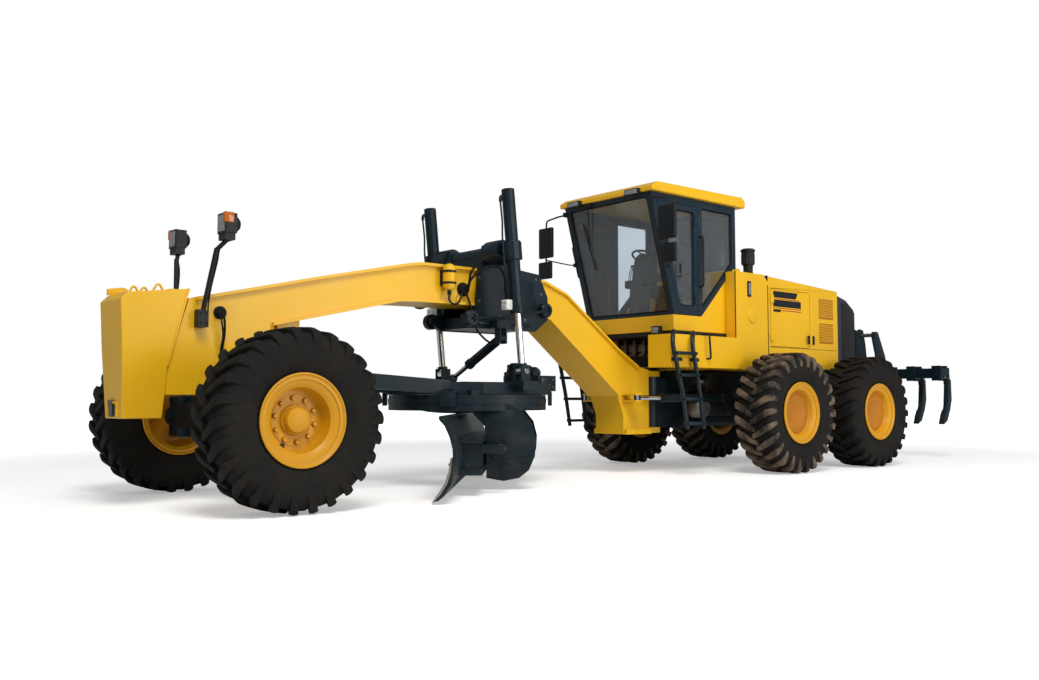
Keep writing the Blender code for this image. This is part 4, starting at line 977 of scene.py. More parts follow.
settle(mat, "floor_mat", hose_rubber, "chassis")
print("cab trimmed")

# %% [markdown]
# ## The front end
# The two lamps look forward from their bent posts, with an amber corner on the outside. Two lifting eyes
# and a lug stand on the push block, a tow pin crosses a pocket at its foot, and a capped port on the
# frame's side lets two cables down to the steering.
# %% head lamps
lens = box(spot(7.944, 0.484, 2.334), spot(7.962, 0.616, 2.476), 0.006, 3)
both_sides(lens, "head_lamp_lens", clear_lens, "front_module")
lamp_frame = joined([box(spot(7.940, 0.468, 2.318), spot(7.958, 0.632, 2.334), 0.004),
                     box(spot(7.940, 0.468, 2.476), spot(7.958, 0.632, 2.492), 0.004),
                     box(spot(7.940, 0.468, 2.334), spot(7.958, 0.484, 2.476), 0.004),
                     box(spot(7.940, 0.616, 2.334), spot(7.958, 0.632, 2.476), 0.004)])
both_sides(lamp_frame, "head_lamp_frame", plastic_black, "front_module")
corner_lamp = box(spot(7.880, 0.590, 2.405), spot(7.966, 0.640, 2.496), 0.010, 3)
both_sides(corner_lamp, "corner_lamp", amber_lens, "front_module")
hood_back = turned([(0.072, 0), (0.066, 0.030), (0.045, 0.050)], spot(7.852, 0.55, 2.405), (-1, 0, 0),
                   sides=20)
post_nuts = bolt_set(along([(7.98, 0.332, 1.565), (8.03, 0.332, 1.565), (7.98, 0.332, 1.650),
                            (8.03, 0.332, 1.650)]),
                     (0, 1, 0), 0.009)
wire = tube(along([(7.895, 0.50, 2.27), (7.925, 0.47, 2.215), (7.93, 0.425, 2.10), (7.965, 0.352, 1.80),
                   (7.955, 0.30, 1.69), (7.93, 0.245, 1.67)]), 0.006)
both_sides([hood_back, post_nuts, wire], "lamp_post_fittings", plastic_black, "front_module")


# %% lifting eyes and tow pin
def lifting_eye(place, along_way, radius=0.034):
    """A bent round bar that stands on its two feet."""
    side = Vector(along_way).normalized() * radius
    upward = Vector((0, 0, radius))
    place = Vector(place)
    return tube([place - side * 1.35 - upward * 0.6, place - side, place + upward * 1.15, place + side,
                 place + side * 1.35 - upward * 0.6], 0.010)


eyes = [lifting_eye(spot(8.34, 0.17, 1.848), (1, 0, 0)), lifting_eye(spot(8.34, -0.17, 1.848), (1, 0, 0)),
        lifting_eye(spot(8.52, 0.10, 1.826), (1, 0, 0), 0.030)]
lug = plate([(0, 0), (0.17, 0), (0.17, 0.055), (0.04, 0.075), (0, 0.06)], spot(8.48, -0.16, 1.80),
            (1, 0, 0), (0, 0, 1),
            0.03)
top_plate = box(spot(8.14, -0.22, 1.838), spot(8.26, 0.22, 1.852), 0.004)
settle(eyes + [lug, top_plate], "push_block_top", body_yellow, "front_module")
pocket_edge = joined([box(spot(8.628, 0.100, 0.760), spot(8.650, 0.120, 0.880), 0.004),
                      box(spot(8.628, -0.120, 0.760), spot(8.650, -0.100, 0.880), 0.004),
                      box(spot(8.630, -0.120, 0.876), spot(8.652, 0.120, 0.892), 0.004)])
settle(pocket_edge, "tow_pocket_edge", body_yellow, "front_module")
pocket = box(spot(8.627, -0.10, 0.765), spot(8.636, 0.10, 0.878), 0.002)
settle(pocket, "tow_pocket", engine_grey, "front_module")
tow_pin = turned([(0.018, 0), (0.018, 0.10), (0.030, 0.104), (0.030, 0.125), (0.022, 0.132)],
                 spot(8.650, 0, 0.775), (0, 0, 1), sides=20)
settle(tow_pin, "tow_pin", cast_steel, "front_module")
edge_strip = plate([(8.10, 1.862), (8.118, 1.862), (8.290, 1.195), (8.272, 1.195)], spot(0, 0.2585, 0),
                   (1, 0, 0), (0, 0, 1), 0.006, 0.002)
edge_strip.data.transform(Matrix.Translation((0, 0.0085, 0)))
both_sides(edge_strip, "push_block_edge", body_yellow, "front_module")

# %% the port on the frame's side with its cables
port = turned([(0.058, 0), (0.058, 0.012), (0.044, 0.020), (0.044, 0.046), (0.034, 0.056)],
              spot(7.82, 0.234, 1.67), (0, 1, 0), sides=24)
cables = [tube(along([(7.82, 0.280, 1.67), (7.815, 0.312, 1.63), (7.800, 0.300, 1.50), (7.795, 0.250, 1.30),
                      (7.72, 0.245, 1.12), (7.66, 0.250, 1.06)]), 0.010),
          tube(along([(7.83, 0.280, 1.655), (7.838, 0.318, 1.60), (7.820, 0.312, 1.48), (7.815, 0.262, 1.30),
                      (7.76, 0.262, 1.12), (7.68, 0.290, 1.055)]), 0.008)]
both_sides([port] + cables, "steering_hoses", hose_rubber, "front_module")
cover_bolts = bolt_set(along([(7.50 + 0.08 * i, 0.2355, 1.20) for i in range(4)]), (0, 1, 0), 0.010)
access = plate([(7.44, 1.14), (7.80, 1.14), (7.80, 1.40), (7.44, 1.46)], spot(0, 0.2352, 0), (1, 0, 0),
               (0, 0, 1),
               0.006, 0.002)
access.data.transform(Matrix.Translation((0, 0.006, 0)))
both_sides([access, cover_bolts], "axle_cover", body_yellow, "front_module")

# %% front axle and its cylinders
for side, sign in (("left", 1), ("right", -1)):
    caps = [turned([(0.050, 0), (0.050, 0.012), (0.040, 0.020)], spot(7.65, sign * 0.93, z), (0, 0, up),
                   sides=20)
            for z, up in ((0.9385, 1), (0.5515, -1))]
    settle(caps, "kingpin_caps_" + side, cast_steel, "steer_" + side)
axle_pin = turned([(0.060, 0), (0.060, 0.014), (0.046, 0.024)], spot(7.765, 0, 0.83), (1, 0, 0), sides=24)
settle(axle_pin, "axle_pin_cap", cast_steel, "front_module")
barrel = turned([(0.030, 0), (0.046, 0.006), (0.046, 0.40), (0.036, 0.41), (0.036, 0.43)],
                spot(7.37, 0.21, 0.667), (0, 1, 0), sides=24)
both_sides(barrel, "steering_barrel", frame_blue, "steer_link")
print("front end trimmed")

# %% [markdown]
# ## The lift saddle, its cylinders and their hoses
# The saddle is a casting with round bosses where the trunnions, the centre-shift cylinder and the lock pins
# pass through. Nitrogen cushions for the lift cylinders stand in front of it, and hoses loop from a port in
# the beam to a block on each cylinder.
# %% bosses of the saddle
saddle = []
for x, y, z, radius, deep in ((4.85, 0.330, 2.46, 0.135, 0.25), (5.135, 0.330, 1.760, 0.085, 0.075),
                              (4.090, 0.330, 1.900, 0.080, 0.075), (4.55, 0.330, 2.12, 0.052, 0.035)):
    saddle.append(turned([(radius, 0), (radius, deep * 0.86), (radius * 0.88, deep), (radius * 0.5, deep),
                          (radius * 0.5, deep * 0.8)], spot(x, y, z), (0, 1, 0), sides=28))
saddle.append(turned([(0.112, 0), (0.112, 0.026), (0.100, 0.030)], spot(4.85, 0.548, 2.46), (0, 1, 0),
                     sides=28))
saddle.append(plate([(4.20, 1.92), (4.52, 1.84), (4.66, 2.10), (4.56, 2.24), (4.26, 2.20)], spot(0, 0.338, 0),
                    (1, 0, 0), (0, 0, 1), -0.012, 0.004))
saddle.append(box(spot(4.30, 0.325, 1.700), spot(5.02, 0.350, 1.735), 0.008))
both_sides(saddle, "saddle_bosses", frame_blue, "front_module")
saddle_bolts = bolt_set(along([(4.12, 0.3305, 2.08), (4.20, 0.3305, 2.24), (4.72, 0.3305, 2.44),
                               (5.00, 0.3305, 2.20),
                               (5.00, 0.3305, 1.95), (4.72, 0.3305, 1.80), (4.36, 0.3305, 1.78)]),
                        (0, 1, 0), 0.013)
both_sides(saddle_bolts, "saddle_bolts", cast_steel, "front_module")
lock_bar = tube(along([(4.095, 0.410, 1.900), (4.60, 0.435, 1.800), (5.13, 0.410, 1.760)]), 0.014)
both_sides(lock_bar, "lock_bar", frame_blue, "front_module")

# %% ends of the lift cylinders
def finish_hose(hose, name):
    """Names and finishes a hose that bends between two bodies, and so rides on neither alone."""
    place_in_mesh(hose)
    bpy.ops.object.shade_smooth_by_angle(angle=math.radians(35))
    hose.name = name
    hose.data.materials.clear()
    hose.data.materials.append(hose_rubber)
    return hose


for side, sign in (("left", 1), ("right", -1)):
    eye = spot(4.72, sign * 0.70, 1.20)
    trunnion = spot(4.85, sign * 0.70, 2.46)
    way = (trunnion - eye).normalized()
    gland = turned([(0.074, 0), (0.074, 0.075), (0.062, 0.085)], trunnion - way * 0.655, way, sides=28)
    head = turned([(0.068, 0), (0.068, 0.05), (0.050, 0.058)], trunnion + way * 0.592, way, sides=28)
    collar = turned([(0.086, 0), (0.092, 0.012), (0.092, 0.188), (0.086, 0.20)], trunnion - way * 0.10, way,
                    sides=28)
    elbow = tube([trunnion + way * 0.560 + Vector((0.050, 0, 0)),
                  trunnion + way * 0.560 + Vector((0.105, 0, 0)),
                  trunnion + way * 0.500 + Vector((0.115, 0, 0))], 0.017, bend=0.03)
    pipe = tube([trunnion + way * 0.500 + Vector((0.115, 0, 0)),
                 trunnion + way * 0.30 + Vector((0.108, 0, 0)),
                 trunnion + way * 0.13 + Vector((0.125, 0, 0)), trunnion - way * 0.15 + Vector((0.125, 0, 0)),
                 trunnion - way * 0.52 + Vector((0.095, -sign * 0.02, 0))], 0.010, bend=0.05)
    settle([gland, head, collar, elbow, pipe], "lift_cylinder_ends_" + side, frame_blue,
           "lift_cylinder_" + side)
    block_at = trunnion - way * 0.575 + Vector((0.105, -sign * 0.03, 0))
    valve = box(block_at - Vector((0.035, 0.045, 0.050)), block_at + Vector((0.045, 0.045, 0.055)), 0.006)
    settle(valve, "valve_block_" + side, plate_white, "lift_cylinder_" + side)
    plugs = bolt_set([block_at + Vector((0.045, 0.02, 0.02)), block_at + Vector((0.045, -0.02, 0.02)),
                      block_at + Vector((0.045, 0.0, -0.025))], (1, 0, 0), 0.009)
    settle(plugs, "valve_plugs_" + side, bright_steel, "lift_cylinder_" + side)
    hoses = []
    for j, rise in enumerate((0.0, -0.10)):
        start = spot(5.15, sign * 0.285, 2.07)
        end = block_at + Vector((0.0, sign * 0.025 * (1 - 2 * j), 0.055))
        hoses.append(tube([start, start + Vector((0.02, sign * 0.07, 0.02 * (1 - j))),
                           Vector((start.x + 0.02, sign * (0.45 - 0.03 * j), 2.27 + rise)),
                           Vector((end.x + 0.06, sign * (0.62 - 0.05 * j), 2.40 + rise)),
                           end + Vector((0.035, 0, 0.28)), end + Vector((0.0, 0, 0.06)), end], 0.013))
    hose = finish_hose(joined(hoses), "lift_hoses_" + side)
    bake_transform(hose)
    rod_end = turned([(0.058, 0), (0.058, 0.030), (0.044, 0.036)], eye + way * 0.052, way, sides=24)
    settle(rod_end, "lift_rod_end_" + side, frame_blue, "lift_piston_" + side)
    pin = turned([(0.034, 0), (0.034, 0.012), (0.026, 0.020)], eye + Vector((0, sign * 0.066, 0)),
                 (0, sign, 0), sides=20)
    settle(pin, "lift_eye_pin_" + side, cast_steel, "drawbar_body")

# %% the port in the beam and the cushions
port = turned([(0.075, 0), (0.075, 0.010), (0.056, 0.018), (0.056, 0.050), (0.040, 0.060)],
              spot(5.15, 0.234, 2.07), (0, 1, 0), sides=28)
both_sides(port, "beam_port", hose_rubber, "front_module")
bottle = turned([(0.020, 0), (0.050, 0.010), (0.066, 0.040), (0.068, 0.06), (0.068, 0.22), (0.060, 0.25),
                 (0.034, 0.272),
                 (0.018, 0.278)], spot(5.39, 0.326, 2.035), (0, 0, 1), sides=28)
both_sides(bottle, "cushion_bottle", body_yellow, "front_module")
band = ring_of([(0.066, 0), (0.073, 0), (0.073, 0.022), (0.066, 0.022)], spot(5.39, 0.326, 2.10), sides=28)
band_two = ring_of([(0.066, 0), (0.073, 0), (0.073, 0.022), (0.066, 0.022)], spot(5.39, 0.326, 2.22),
                   sides=28)
cap = turned([(0.016, 0), (0.016, 0.028), (0.010, 0.034)], spot(5.39, 0.326, 2.310), (0, 0, 1), sides=16)
saddle_clip = box(spot(5.33, 0.235, 2.09), spot(5.45, 0.275, 2.25), 0.006)
neck = turned([(0.022, 0), (0.022, 0.05)], spot(5.39, 0.326, 1.99), (0, 0, 1), sides=16)
link_hose = tube(along([(5.39, 0.326, 1.995), (5.39, 0.326, 1.94), (5.34, 0.32, 1.90), (5.24, 0.29, 1.93),
                        (5.19, 0.275, 2.02)]), 0.011)
both_sides([band, band_two, cap, saddle_clip, neck, link_hose], "cushion_fittings", plastic_black,
           "front_module")

# %% the centre-shift cylinder
base, eye = spot(4.78, 0.42, 1.56), spot(4.78, -0.42, 1.15)
way = (eye - base).normalized()
gland = turned([(0.056, 0), (0.056, 0.050), (0.044, 0.056)], base + way * 0.565, way, sides=24)
settle(gland, "shift_gland", frame_blue, "shift_cylinder")
shift_hose = tube(along([(4.83, 0.30, 1.515), (4.92, 0.31, 1.56), (5.04, 0.33, 1.66), (5.10, 0.31, 1.90),
                         (5.14, 0.28, 2.03)]), 0.011)
shift_hose = finish_hose(shift_hose, "shift_hose")
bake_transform(shift_hose)
print("saddle dressed")

# %% [markdown]
# ## Drawbar, circle and blade
# Teeth run round the circle's rim under a guard, a worm drive sits at the drawbar's end, and guide shoes
# hold the ring. The blade carries bolted cutting edges and end bits, worn bright along the ground.
# %% circle teeth and shoes
CIRCLE_MIDDLE = spot(4.90, 0, 0)
CIRCLE_LOW, CIRCLE_HIGH = 0.85, 0.93
TOOTH_COUNT = 72
tooth = plate([(0, -0.022), (0.030, -0.010), (0.030, 0.010), (0, 0.022)], (0.640, 0, CIRCLE_LOW + 0.004),
              (-1, 0, 0), (0, -1, 0), -0.066, 0.002)
tooth.data.transform(Matrix.Translation((0.024, 0, 0)))
low_z = min(corner.co.z for corner in tooth.data.vertices)
tooth.data.transform(Matrix.Translation((0, 0, CIRCLE_LOW + 0.006 - low_z)))
teeth = []
for i in range(TOOTH_COUNT):
    turn = Matrix.Rotation(2 * math.pi * i / TOOTH_COUNT, 4, "Z")
    teeth.append(copied(tooth, Matrix.Translation(CIRCLE_MIDDLE) @ turn))
bpy.data.objects.remove(tooth)
settle(teeth, "circle_teeth", worn_steel, "circle_body")
rim_band = ring_of([(0.8495, CIRCLE_LOW + 0.012), (0.856, CIRCLE_LOW + 0.012), (0.856, CIRCLE_HIGH - 0.012),
                    (0.8495, CIRCLE_HIGH - 0.012)], CIRCLE_MIDDLE, sides=72)
settle(rim_band, "circle_rim_band", frame_blue, "circle_body")
shoes = []
for angle in (40, 140, 220, 320):
    turn = Matrix.Translation(CIRCLE_MIDDLE) @ Matrix.Rotation(math.radians(angle), 4, "Z")
    clamp = box((0.700, -0.080, 0.9575), (0.915, 0.080, 0.990), 0.006)
    skirt = box((0.875, -0.080, 0.840), (0.915, 0.080, 0.965), 0.006)
    bolts = bolt_set([(0.80, -0.05, 0.990), (0.80, 0.05, 0.990), (0.745, 0.0, 0.990)], (0, 0, 1), 0.014)
    shoe = joined([clamp, skirt, bolts])
    shoe.data.transform(turn)
    shoes.append(shoe)
    arm = tube([CIRCLE_MIDDLE + Vector((math.cos(math.radians(angle)) * r,
                                        math.sin(math.radians(angle)) * r, 0.985))
                for r in (0.55, 0.80)], 0.035)
    shoes.append(arm)
settle(shoes, "circle_shoes", frame_blue, "drawbar_body")

# %% circle drive
drive = [turned([(0.150, 0), (0.150, 0.08), (0.115, 0.10), (0.115, 0.15), (0.080, 0.17), (0.080, 0.22),
                 (0.060, 0.23)],
                spot(4.20, 0, 1.09), (0, 0, 1), sides=32),
         turned([(0.070, 0), (0.070, 0.22), (0.055, 0.25)], spot(4.20, 0.10, 1.20), (0, 1, 0), sides=28),
         turned([(0.095, 0), (0.095, 0.02)], spot(4.20, 0.18, 1.20), (0, 1, 0), sides=28),
         box(spot(4.09, -0.10, 1.12), spot(4.31, 0.10, 1.22), 0.015)]
settle(drive, "circle_drive", frame_blue, "drawbar_body")
drive_bolts = bolt_set([spot(4.20 + 0.135 * math.cos(math.radians(a)), 0.135 * math.sin(math.radians(a)),
                             1.19)
                        for a in range(0, 360, 45)], (0, 0, 1), 0.011)
settle(drive_bolts, "drive_bolts", cast_steel, "drawbar_body")
cover = plate([(4.05, 1.02), (4.25, 1.02), (4.25, 1.15), (4.05, 1.15)], spot(0, 0.4605, 0), (1, 0, 0),
              (0, 0, 1),
              0.012, 0.004)
cover.data.transform(Matrix.Translation((0, 0.012, 0)))
settle(cover, "drive_cover", frame_blue, "drawbar_body")
cover_bolts = bolt_set(along([(4.075, 0.4725, 1.045), (4.225, 0.4725, 1.045), (4.075, 0.4725, 1.125),
                              (4.225, 0.4725, 1.125)]), (0, 1, 0), 0.009)
settle(cover_bolts, "drive_cover_bolts", cast_steel, "drawbar_body")
ball_cap = [turned([(0.088, -0.020), (0.088, 0.020)], spot(7.05, 0, 1.15), (0, 1, 0), sides=28)]
settle(ball_cap, "drawbar_ball", cast_steel, "drawbar_body")
top_plates = [box(spot(4.48, 0.20, 1.08), spot(5.30, 0.50, 1.092), 0.004), box(spot(4.48, -0.50, 1.08),
                                                                           spot(5.30, -0.20, 1.092), 0.004)]
settle(top_plates, "drawbar_wear_plates", frame_blue, "drawbar_body")

# %% bands that close the ring above and below, and the arms' gussets
top_band = ring_of([(0.785, 0.9302), (0.848, 0.9302), (0.848, 0.955), (0.785, 0.955)], CIRCLE_MIDDLE,
                   sides=72)
low_band = ring_of([(0.800, 0.795), (0.852, 0.795), (0.852, 0.852), (0.800, 0.852)], CIRCLE_MIDDLE, sides=72)
settle([top_band, low_band], "circle_bands", frame_blue, "circle_body")
BLADE_TURN = Matrix.Translation(CIRCLE_MIDDLE) @ Matrix.Rotation(math.radians(-42), 4, "Z")


def on_blade(piece, name, finish, body, smooth=35):
    """Takes a piece drawn in the blade's own axes, +X square to the blade, to its place."""
    if isinstance(piece, list):
        piece = joined(piece)
    place_in_mesh(piece)
    piece.data.transform(BLADE_TURN)
    return settle(piece, name, finish, body, smooth)


GUSSET = [(-0.10, 0.80), (-0.10, 0.775), (0.05, 0.768), (0.20, 0.770), (0.34, 0.782), (0.44, 0.800),
          (0.47, 0.850),
          (-0.10, 0.850)]
gussets = []
for end in (-0.700, 0.700):
    gussets.append(plate(GUSSET, (0, end + 0.034, 0), (1, 0, 0), (0, 0, 1), 0.068, 0.008))
    gussets.append(plate([(-0.30, 0.30), (-0.66, 0.34), (-0.69, 0.50), (-0.62, 0.70), (-0.50, 0.80),
                          (-0.20, 0.80)],
                         (0, end + 0.040, 0), (1, 0, 0), (0, 0, 1), 0.010, 0.003))
on_blade(gussets, "circle_arm_gussets", frame_blue, "circle_body")

# %% cutting edge and end bits
EDGE_SECTION = [(0.133, 0.014), (0.074, 0.098), (0.016, 0.188), (0.001, 0.180), (0.059, 0.089),
                (0.115, 0.018)]
EDGE_PIECES = 3
END_BIT = 0.16
edge_run = 4.27 - 2 * END_BIT
edges, bolts = [], []
for i in range(EDGE_PIECES):
    start = -4.27 / 2 + END_BIT + edge_run * (i + 1) / EDGE_PIECES
    length = edge_run / EDGE_PIECES - 0.004
    edges.append(plate(EDGE_SECTION, (0, start, 0), (1, 0, 0), (0, 0, 1), length, 0.002))
    for j in range(8):
        at = start - length * (j + 0.5) / 8
        bolts.append((0.046, at, 0.146))
on_blade(edges, "cutting_edges", worn_steel, "blade_body")
on_blade(bolt_set(bolts, (0.84, 0, 0.54), 0.012), "edge_bolts", cast_steel, "blade_body")
BIT_SECTION = [(0.140, 0.014), (0.082, 0.100), (0.024, 0.190), (-0.006, 0.285), (-0.022, 0.40),
               (-0.040, 0.40),
               (-0.026, 0.284), (0.003, 0.182), (0.061, 0.090), (0.118, 0.018)]
bits, bit_bolts = [], []
for end in (4.27 / 2, -4.27 / 2 + END_BIT):
    bits.append(plate(BIT_SECTION, (0, end, 0), (1, 0, 0), (0, 0, 1), END_BIT - 0.003, 0.002))
    for j in range(2):
        at = end - END_BIT * (0.3 + 0.4 * j)
        bit_bolts.append((0.006, at, 0.235))
        bit_bolts.append((-0.010, at, 0.345))
on_blade(bits, "end_bits", worn_steel, "blade_body")
on_blade(bolt_set(bit_bolts, (0.96, 0, 0.25), 0.012), "end_bit_bolts", cast_steel, "blade_body")
ribs = []
for end in (-1.05, -0.35, 0.35, 1.05):
    ribs.append(plate([(-0.062, 0.27), (-0.24, 0.265), (-0.24, 0.495), (-0.076, 0.495)], (0, end, 0),
                      (1, 0, 0),
                      (0, 0, 1), 0.016, 0.003))
on_blade(ribs, "blade_ribs", frame_blue, "blade_body")
top_rail = tube([(0.070, -2.12, 0.752), (0.070, 2.12, 0.752)], 0.014)
on_blade(top_rail, "blade_top_rail", frame_blue, "blade_body")
rod_boots = [turned([(0.045, 0), (0.045, 0.020), (0.036, 0.030)], (-0.42, 0.622, 0.44), (0, 1, 0), sides=20),
             turned([(0.046, 0), (0.046, 0.03)], (-0.42, 1.262, 0.44), (0, 1, 0), sides=20)]
on_blade(rod_boots[0], "blade_rod_gland", frame_blue, "circle_body")
on_blade(rod_boots[1], "blade_rod_nut", cast_steel, "blade_body")
print("circle and blade dressed")

# %% [markdown]
# ## Ladder, pumps and hoses below the cab
# The ladder hangs outside the side box on two leaning stringers. Behind the hinge, dark guards close the
# room under the cab's floor, and hoses cross from the rear frame to the valves.
# %% ladder
STRINGERS = [[(2.42, 0.80, 1.725), (2.60, 0.945, 1.70), (2.655, 0.985, 1.55), (2.50, 1.000, 0.98),
              (2.42, 1.000, 0.56)],
             [(2.06, 0.80, 1.725), (2.24, 0.945, 1.70), (2.300, 0.985, 1.55), (2.19, 1.000, 0.98),
              (2.12, 1.000, 0.56)]]
ladder = [tube(along(points), 0.026, bend=0.06, sides=3) for points in STRINGERS]
RUNG_SHARES = (0.10, 0.36, 0.64, 0.93)      # of the height from the bend down to the foot
for share in RUNG_SHARES:
    ends = []
    for points in STRINGERS:
        top, middle, foot = (Vector(points[i]) for i in (2, 3, 4))
        split = (top.z - middle.z) / (top.z - foot.z)
        if share < split:
            place = top.lerp(middle, share / split)
        else:
            place = middle.lerp(foot, (share - split) / (1 - split))
        ends.append(spot(*place))
    ladder.append(box(Vector((ends[1].x - 0.01, 0.955, ends[0].z - 0.018)),
                      Vector((ends[0].x + 0.01, 1.045, ends[0].z + 0.018)), 0.006))
ladder += [box(spot(2.47, 0.925, 1.36), spot(2.62, 0.975, 1.40), 0.004), box(spot(2.16, 0.925, 1.36),
                                                                          spot(2.28, 0.975, 1.40), 0.004)]
both_sides(ladder, "ladder", frame_blue, "chassis")
hand_loop = tube(along([(1.985, 0.760, 1.700), (1.985, 0.990, 1.700), (1.960, 0.990, 1.400),
                        (1.960, 0.930, 1.400)]),
                 0.012, bend=0.05)
both_sides(hand_loop, "ladder_loop", plastic_black, "chassis")
step_plate = box(spot(1.99, 0.60, 1.681), spot(2.615, 0.925, 1.692), 0.003)
both_sides(step_plate, "step_plate", plastic_black, "chassis")

# %% guards, valves and hoses behind the hinge
guards = [box(spot(1.905, -0.565, 1.286), spot(1.950, 0.565, 1.738), 0.006),
          box(spot(1.26, -0.735, 1.690), spot(2.33, 0.735, 1.738), 0.003),
          box(spot(0.95, 0.44, 0.70), spot(1.50, 0.56, 1.26), 0.02),
          box(spot(0.95, -0.56, 0.70), spot(1.50, -0.44, 1.26), 0.02)]
settle(guards, "under_cab_guards", soot_black, "chassis")
VALVE_COUNT = 6
VALVE_STEP = 0.16
valves = []
for i in range(VALVE_COUNT):
    y = -0.44 + VALVE_STEP * i
    valves.append(box(spot(1.950, y, 1.46), spot(2.05, y + 0.12, 1.62), 0.010))
    valves.append(turned([(0.022, 0), (0.022, 0.05), (0.016, 0.06)], spot(2.00, y + 0.06, 1.62), (0, 0, 1),
                         sides=12))
settle(valves, "valve_bank", cast_steel, "chassis")
bundle = []
for i in range(VALVE_COUNT):
    y = -0.41 + VALVE_STEP * i
    bundle.append(tube(along([(2.04, y, 1.50), (2.10, y, 1.50), (2.12, y * 0.9, 1.40), (2.02, y * 0.8, 1.315),
                              (1.90, y * 0.7, 1.30)]), 0.014))
for sign in (1, -1):
    for j in range(3):
        y = sign * (0.46 + 0.045 * j)
        bundle.append(tube(along([(1.78, y, 1.25), (1.76, y, 1.14), (1.66, y, 1.07 + 0.02 * j),
                                  (1.56, y, 1.10),
                                  (1.48, y, 1.16 + 0.02 * j)]), 0.013))
settle(bundle, "hose_bundle", hose_rubber, "chassis")
pump = [turned([(0.10, 0), (0.12, 0.02), (0.12, 0.20), (0.09, 0.24), (0.05, 0.26)], spot(1.49, 0.50, 0.80),
               (1, 0, 0),
               sides=24),
        turned([(0.05, 0), (0.05, 0.10), (0.04, 0.12)], spot(1.49, 0.50, 1.12), (1, 0, 0), sides=24)]
settle(pump, "transmission_pump", cast_steel, "chassis")
hinge_caps = [turned([(0.080, 0), (0.080, 0.014), (0.055, 0.020)], spot(2.0, 0, 1.3055), (0, 0, 1), sides=24)]
settle(hinge_caps, "hinge_cap", cast_steel, "chassis")
for side, sign in (("left", 1), ("right", -1)):
    base, eye = spot(1.25, sign * 0.60, 0.93), spot(2.66, sign * 0.42, 0.93)
    way = (eye - base).normalized()
    gland = turned([(0.062, 0), (0.062, 0.05), (0.048, 0.06)], base + way * 0.985, way, sides=24)
    pipe = tube([base + way * 0.15 + Vector((0, sign * 0.052, 0.02)),
                 base + way * 0.20 + Vector((0, sign * 0.07, 0.03)),
                 base + way * 0.90 + Vector((0, sign * 0.07, 0.03)),
                 base + way * 0.95 + Vector((0, sign * 0.052, 0.02))],
                0.010, bend=0.03)
    settle([gland, pipe], "artic_fittings_" + side, frame_blue, "artic_cylinder_" + side)
    bracket_bolts = bolt_set([spot(1.52 + 0.07 * i, sign * 0.4205, z) for i in range(3) for z in (1.10,
                                                                                                  1.22)],
                             (0, sign, 0), 0.012)
    settle(bracket_bolts, "rail_bolts_" + side, cast_steel, "chassis")

# %% tandem cases
cases = []
AXLE_REACH = 0.92           # from the middle of the tandem to each wheel's axle
AXLE_HEIGHT = 0.745
CASE_FACE = 1.0205
CASE_BOLT_RADIUS = 0.205
CASE_BOLTS = 10
for i in range(CASE_BOLTS):
    angle = math.radians(-80 + 160 * i / (CASE_BOLTS - 1))
    for middle, way in ((AXLE_REACH, 1), (-AXLE_REACH, -1)):
        cases.append((middle + way * CASE_BOLT_RADIUS * math.cos(angle), CASE_FACE,
                      AXLE_HEIGHT + CASE_BOLT_RADIUS * math.sin(angle)))
case_bolts = bolt_set(along(cases), (0, 1, 0), 0.011)
both_sides(case_bolts, "tandem_bolts", cast_steel, "chassis")
case_cover = [turned([(0.165, 0), (0.165, 0.014), (0.150, 0.020)], spot(0, 1.0202, 0.745), (0, 1, 0),
                     sides=32),
              turned([(0.030, 0), (0.030, 0.02)], spot(0.45, 1.0202, 0.90), (0, 1, 0), sides=12)]
both_sides(case_cover, "tandem_cover", frame_blue, "chassis")

# %% [markdown]
# ## Tank, hood and tail
# Black seams run up the sides where the tank meets the cab and the hood. The tank has a round cover and a
# sight gauge, the hood has latches, louvred panels and a blank black plate with red lines, and on top stand
# the exhaust's cap and a bright dome. The tail has a grille, lamps and a guard.
# %% seams
SIDE = 0.900
seams = []
for x, top in ((1.346, 2.53), (0.661, 2.40)):
    seams.append(box(spot(x - 0.007, SIDE - 0.004, 1.30), spot(x + 0.007, SIDE + 0.004, top), 0.002, 1))
both_sides(seams, "body_seams", plastic_black, "chassis")
settle(box(spot(0.654, -SIDE, 2.445), spot(0.668, SIDE, 2.526), 0.002, 1), "hood_seam", plastic_black,
       "chassis")
hood_lines = [box(spot(-0.302, SIDE - 0.004, 1.60), spot(-0.297, SIDE + 0.001, 2.36), 0.0, 1),
              box(spot(-0.95, SIDE - 0.004, 1.588), spot(0.62, SIDE + 0.001, 1.593), 0.0, 1)]
both_sides(hood_lines, "hood_lines", soot_black, "chassis")

# %% tank
disc = turned([(0.095, 0), (0.095, 0.006), (0.088, 0.014), (0.060, 0.020)],
              spot(1.00, 0.8995, 1.98), (0, 1, 0),
              sides=40)
both_sides(disc, "tank_disc", body_yellow, "chassis")
gauge = [box(spot(1.03, SIDE - 0.004, 2.22), spot(1.10, SIDE + 0.014, 2.42), 0.006)]
both_sides(gauge, "gauge_frame", plastic_black, "chassis")
both_sides(box(spot(1.047, SIDE + 0.010, 2.245), spot(1.083, SIDE + 0.018, 2.395), 0.003), "gauge_tube",
           clear_lens,
           "chassis")
fillers = []
for x, y, radius in ((0.98, 0.62, 0.065), (0.86, -0.55, 0.085)):
    fillers.append(turned([(radius * 0.8, 0), (radius * 0.8, 0.03), (radius, 0.034), (radius, 0.070),
                           (radius * 0.9, 0.080)],
                          spot(x, y, 2.529), (0, 0, 1), sides=24))
settle(fillers, "filler_caps", body_yellow, "chassis")
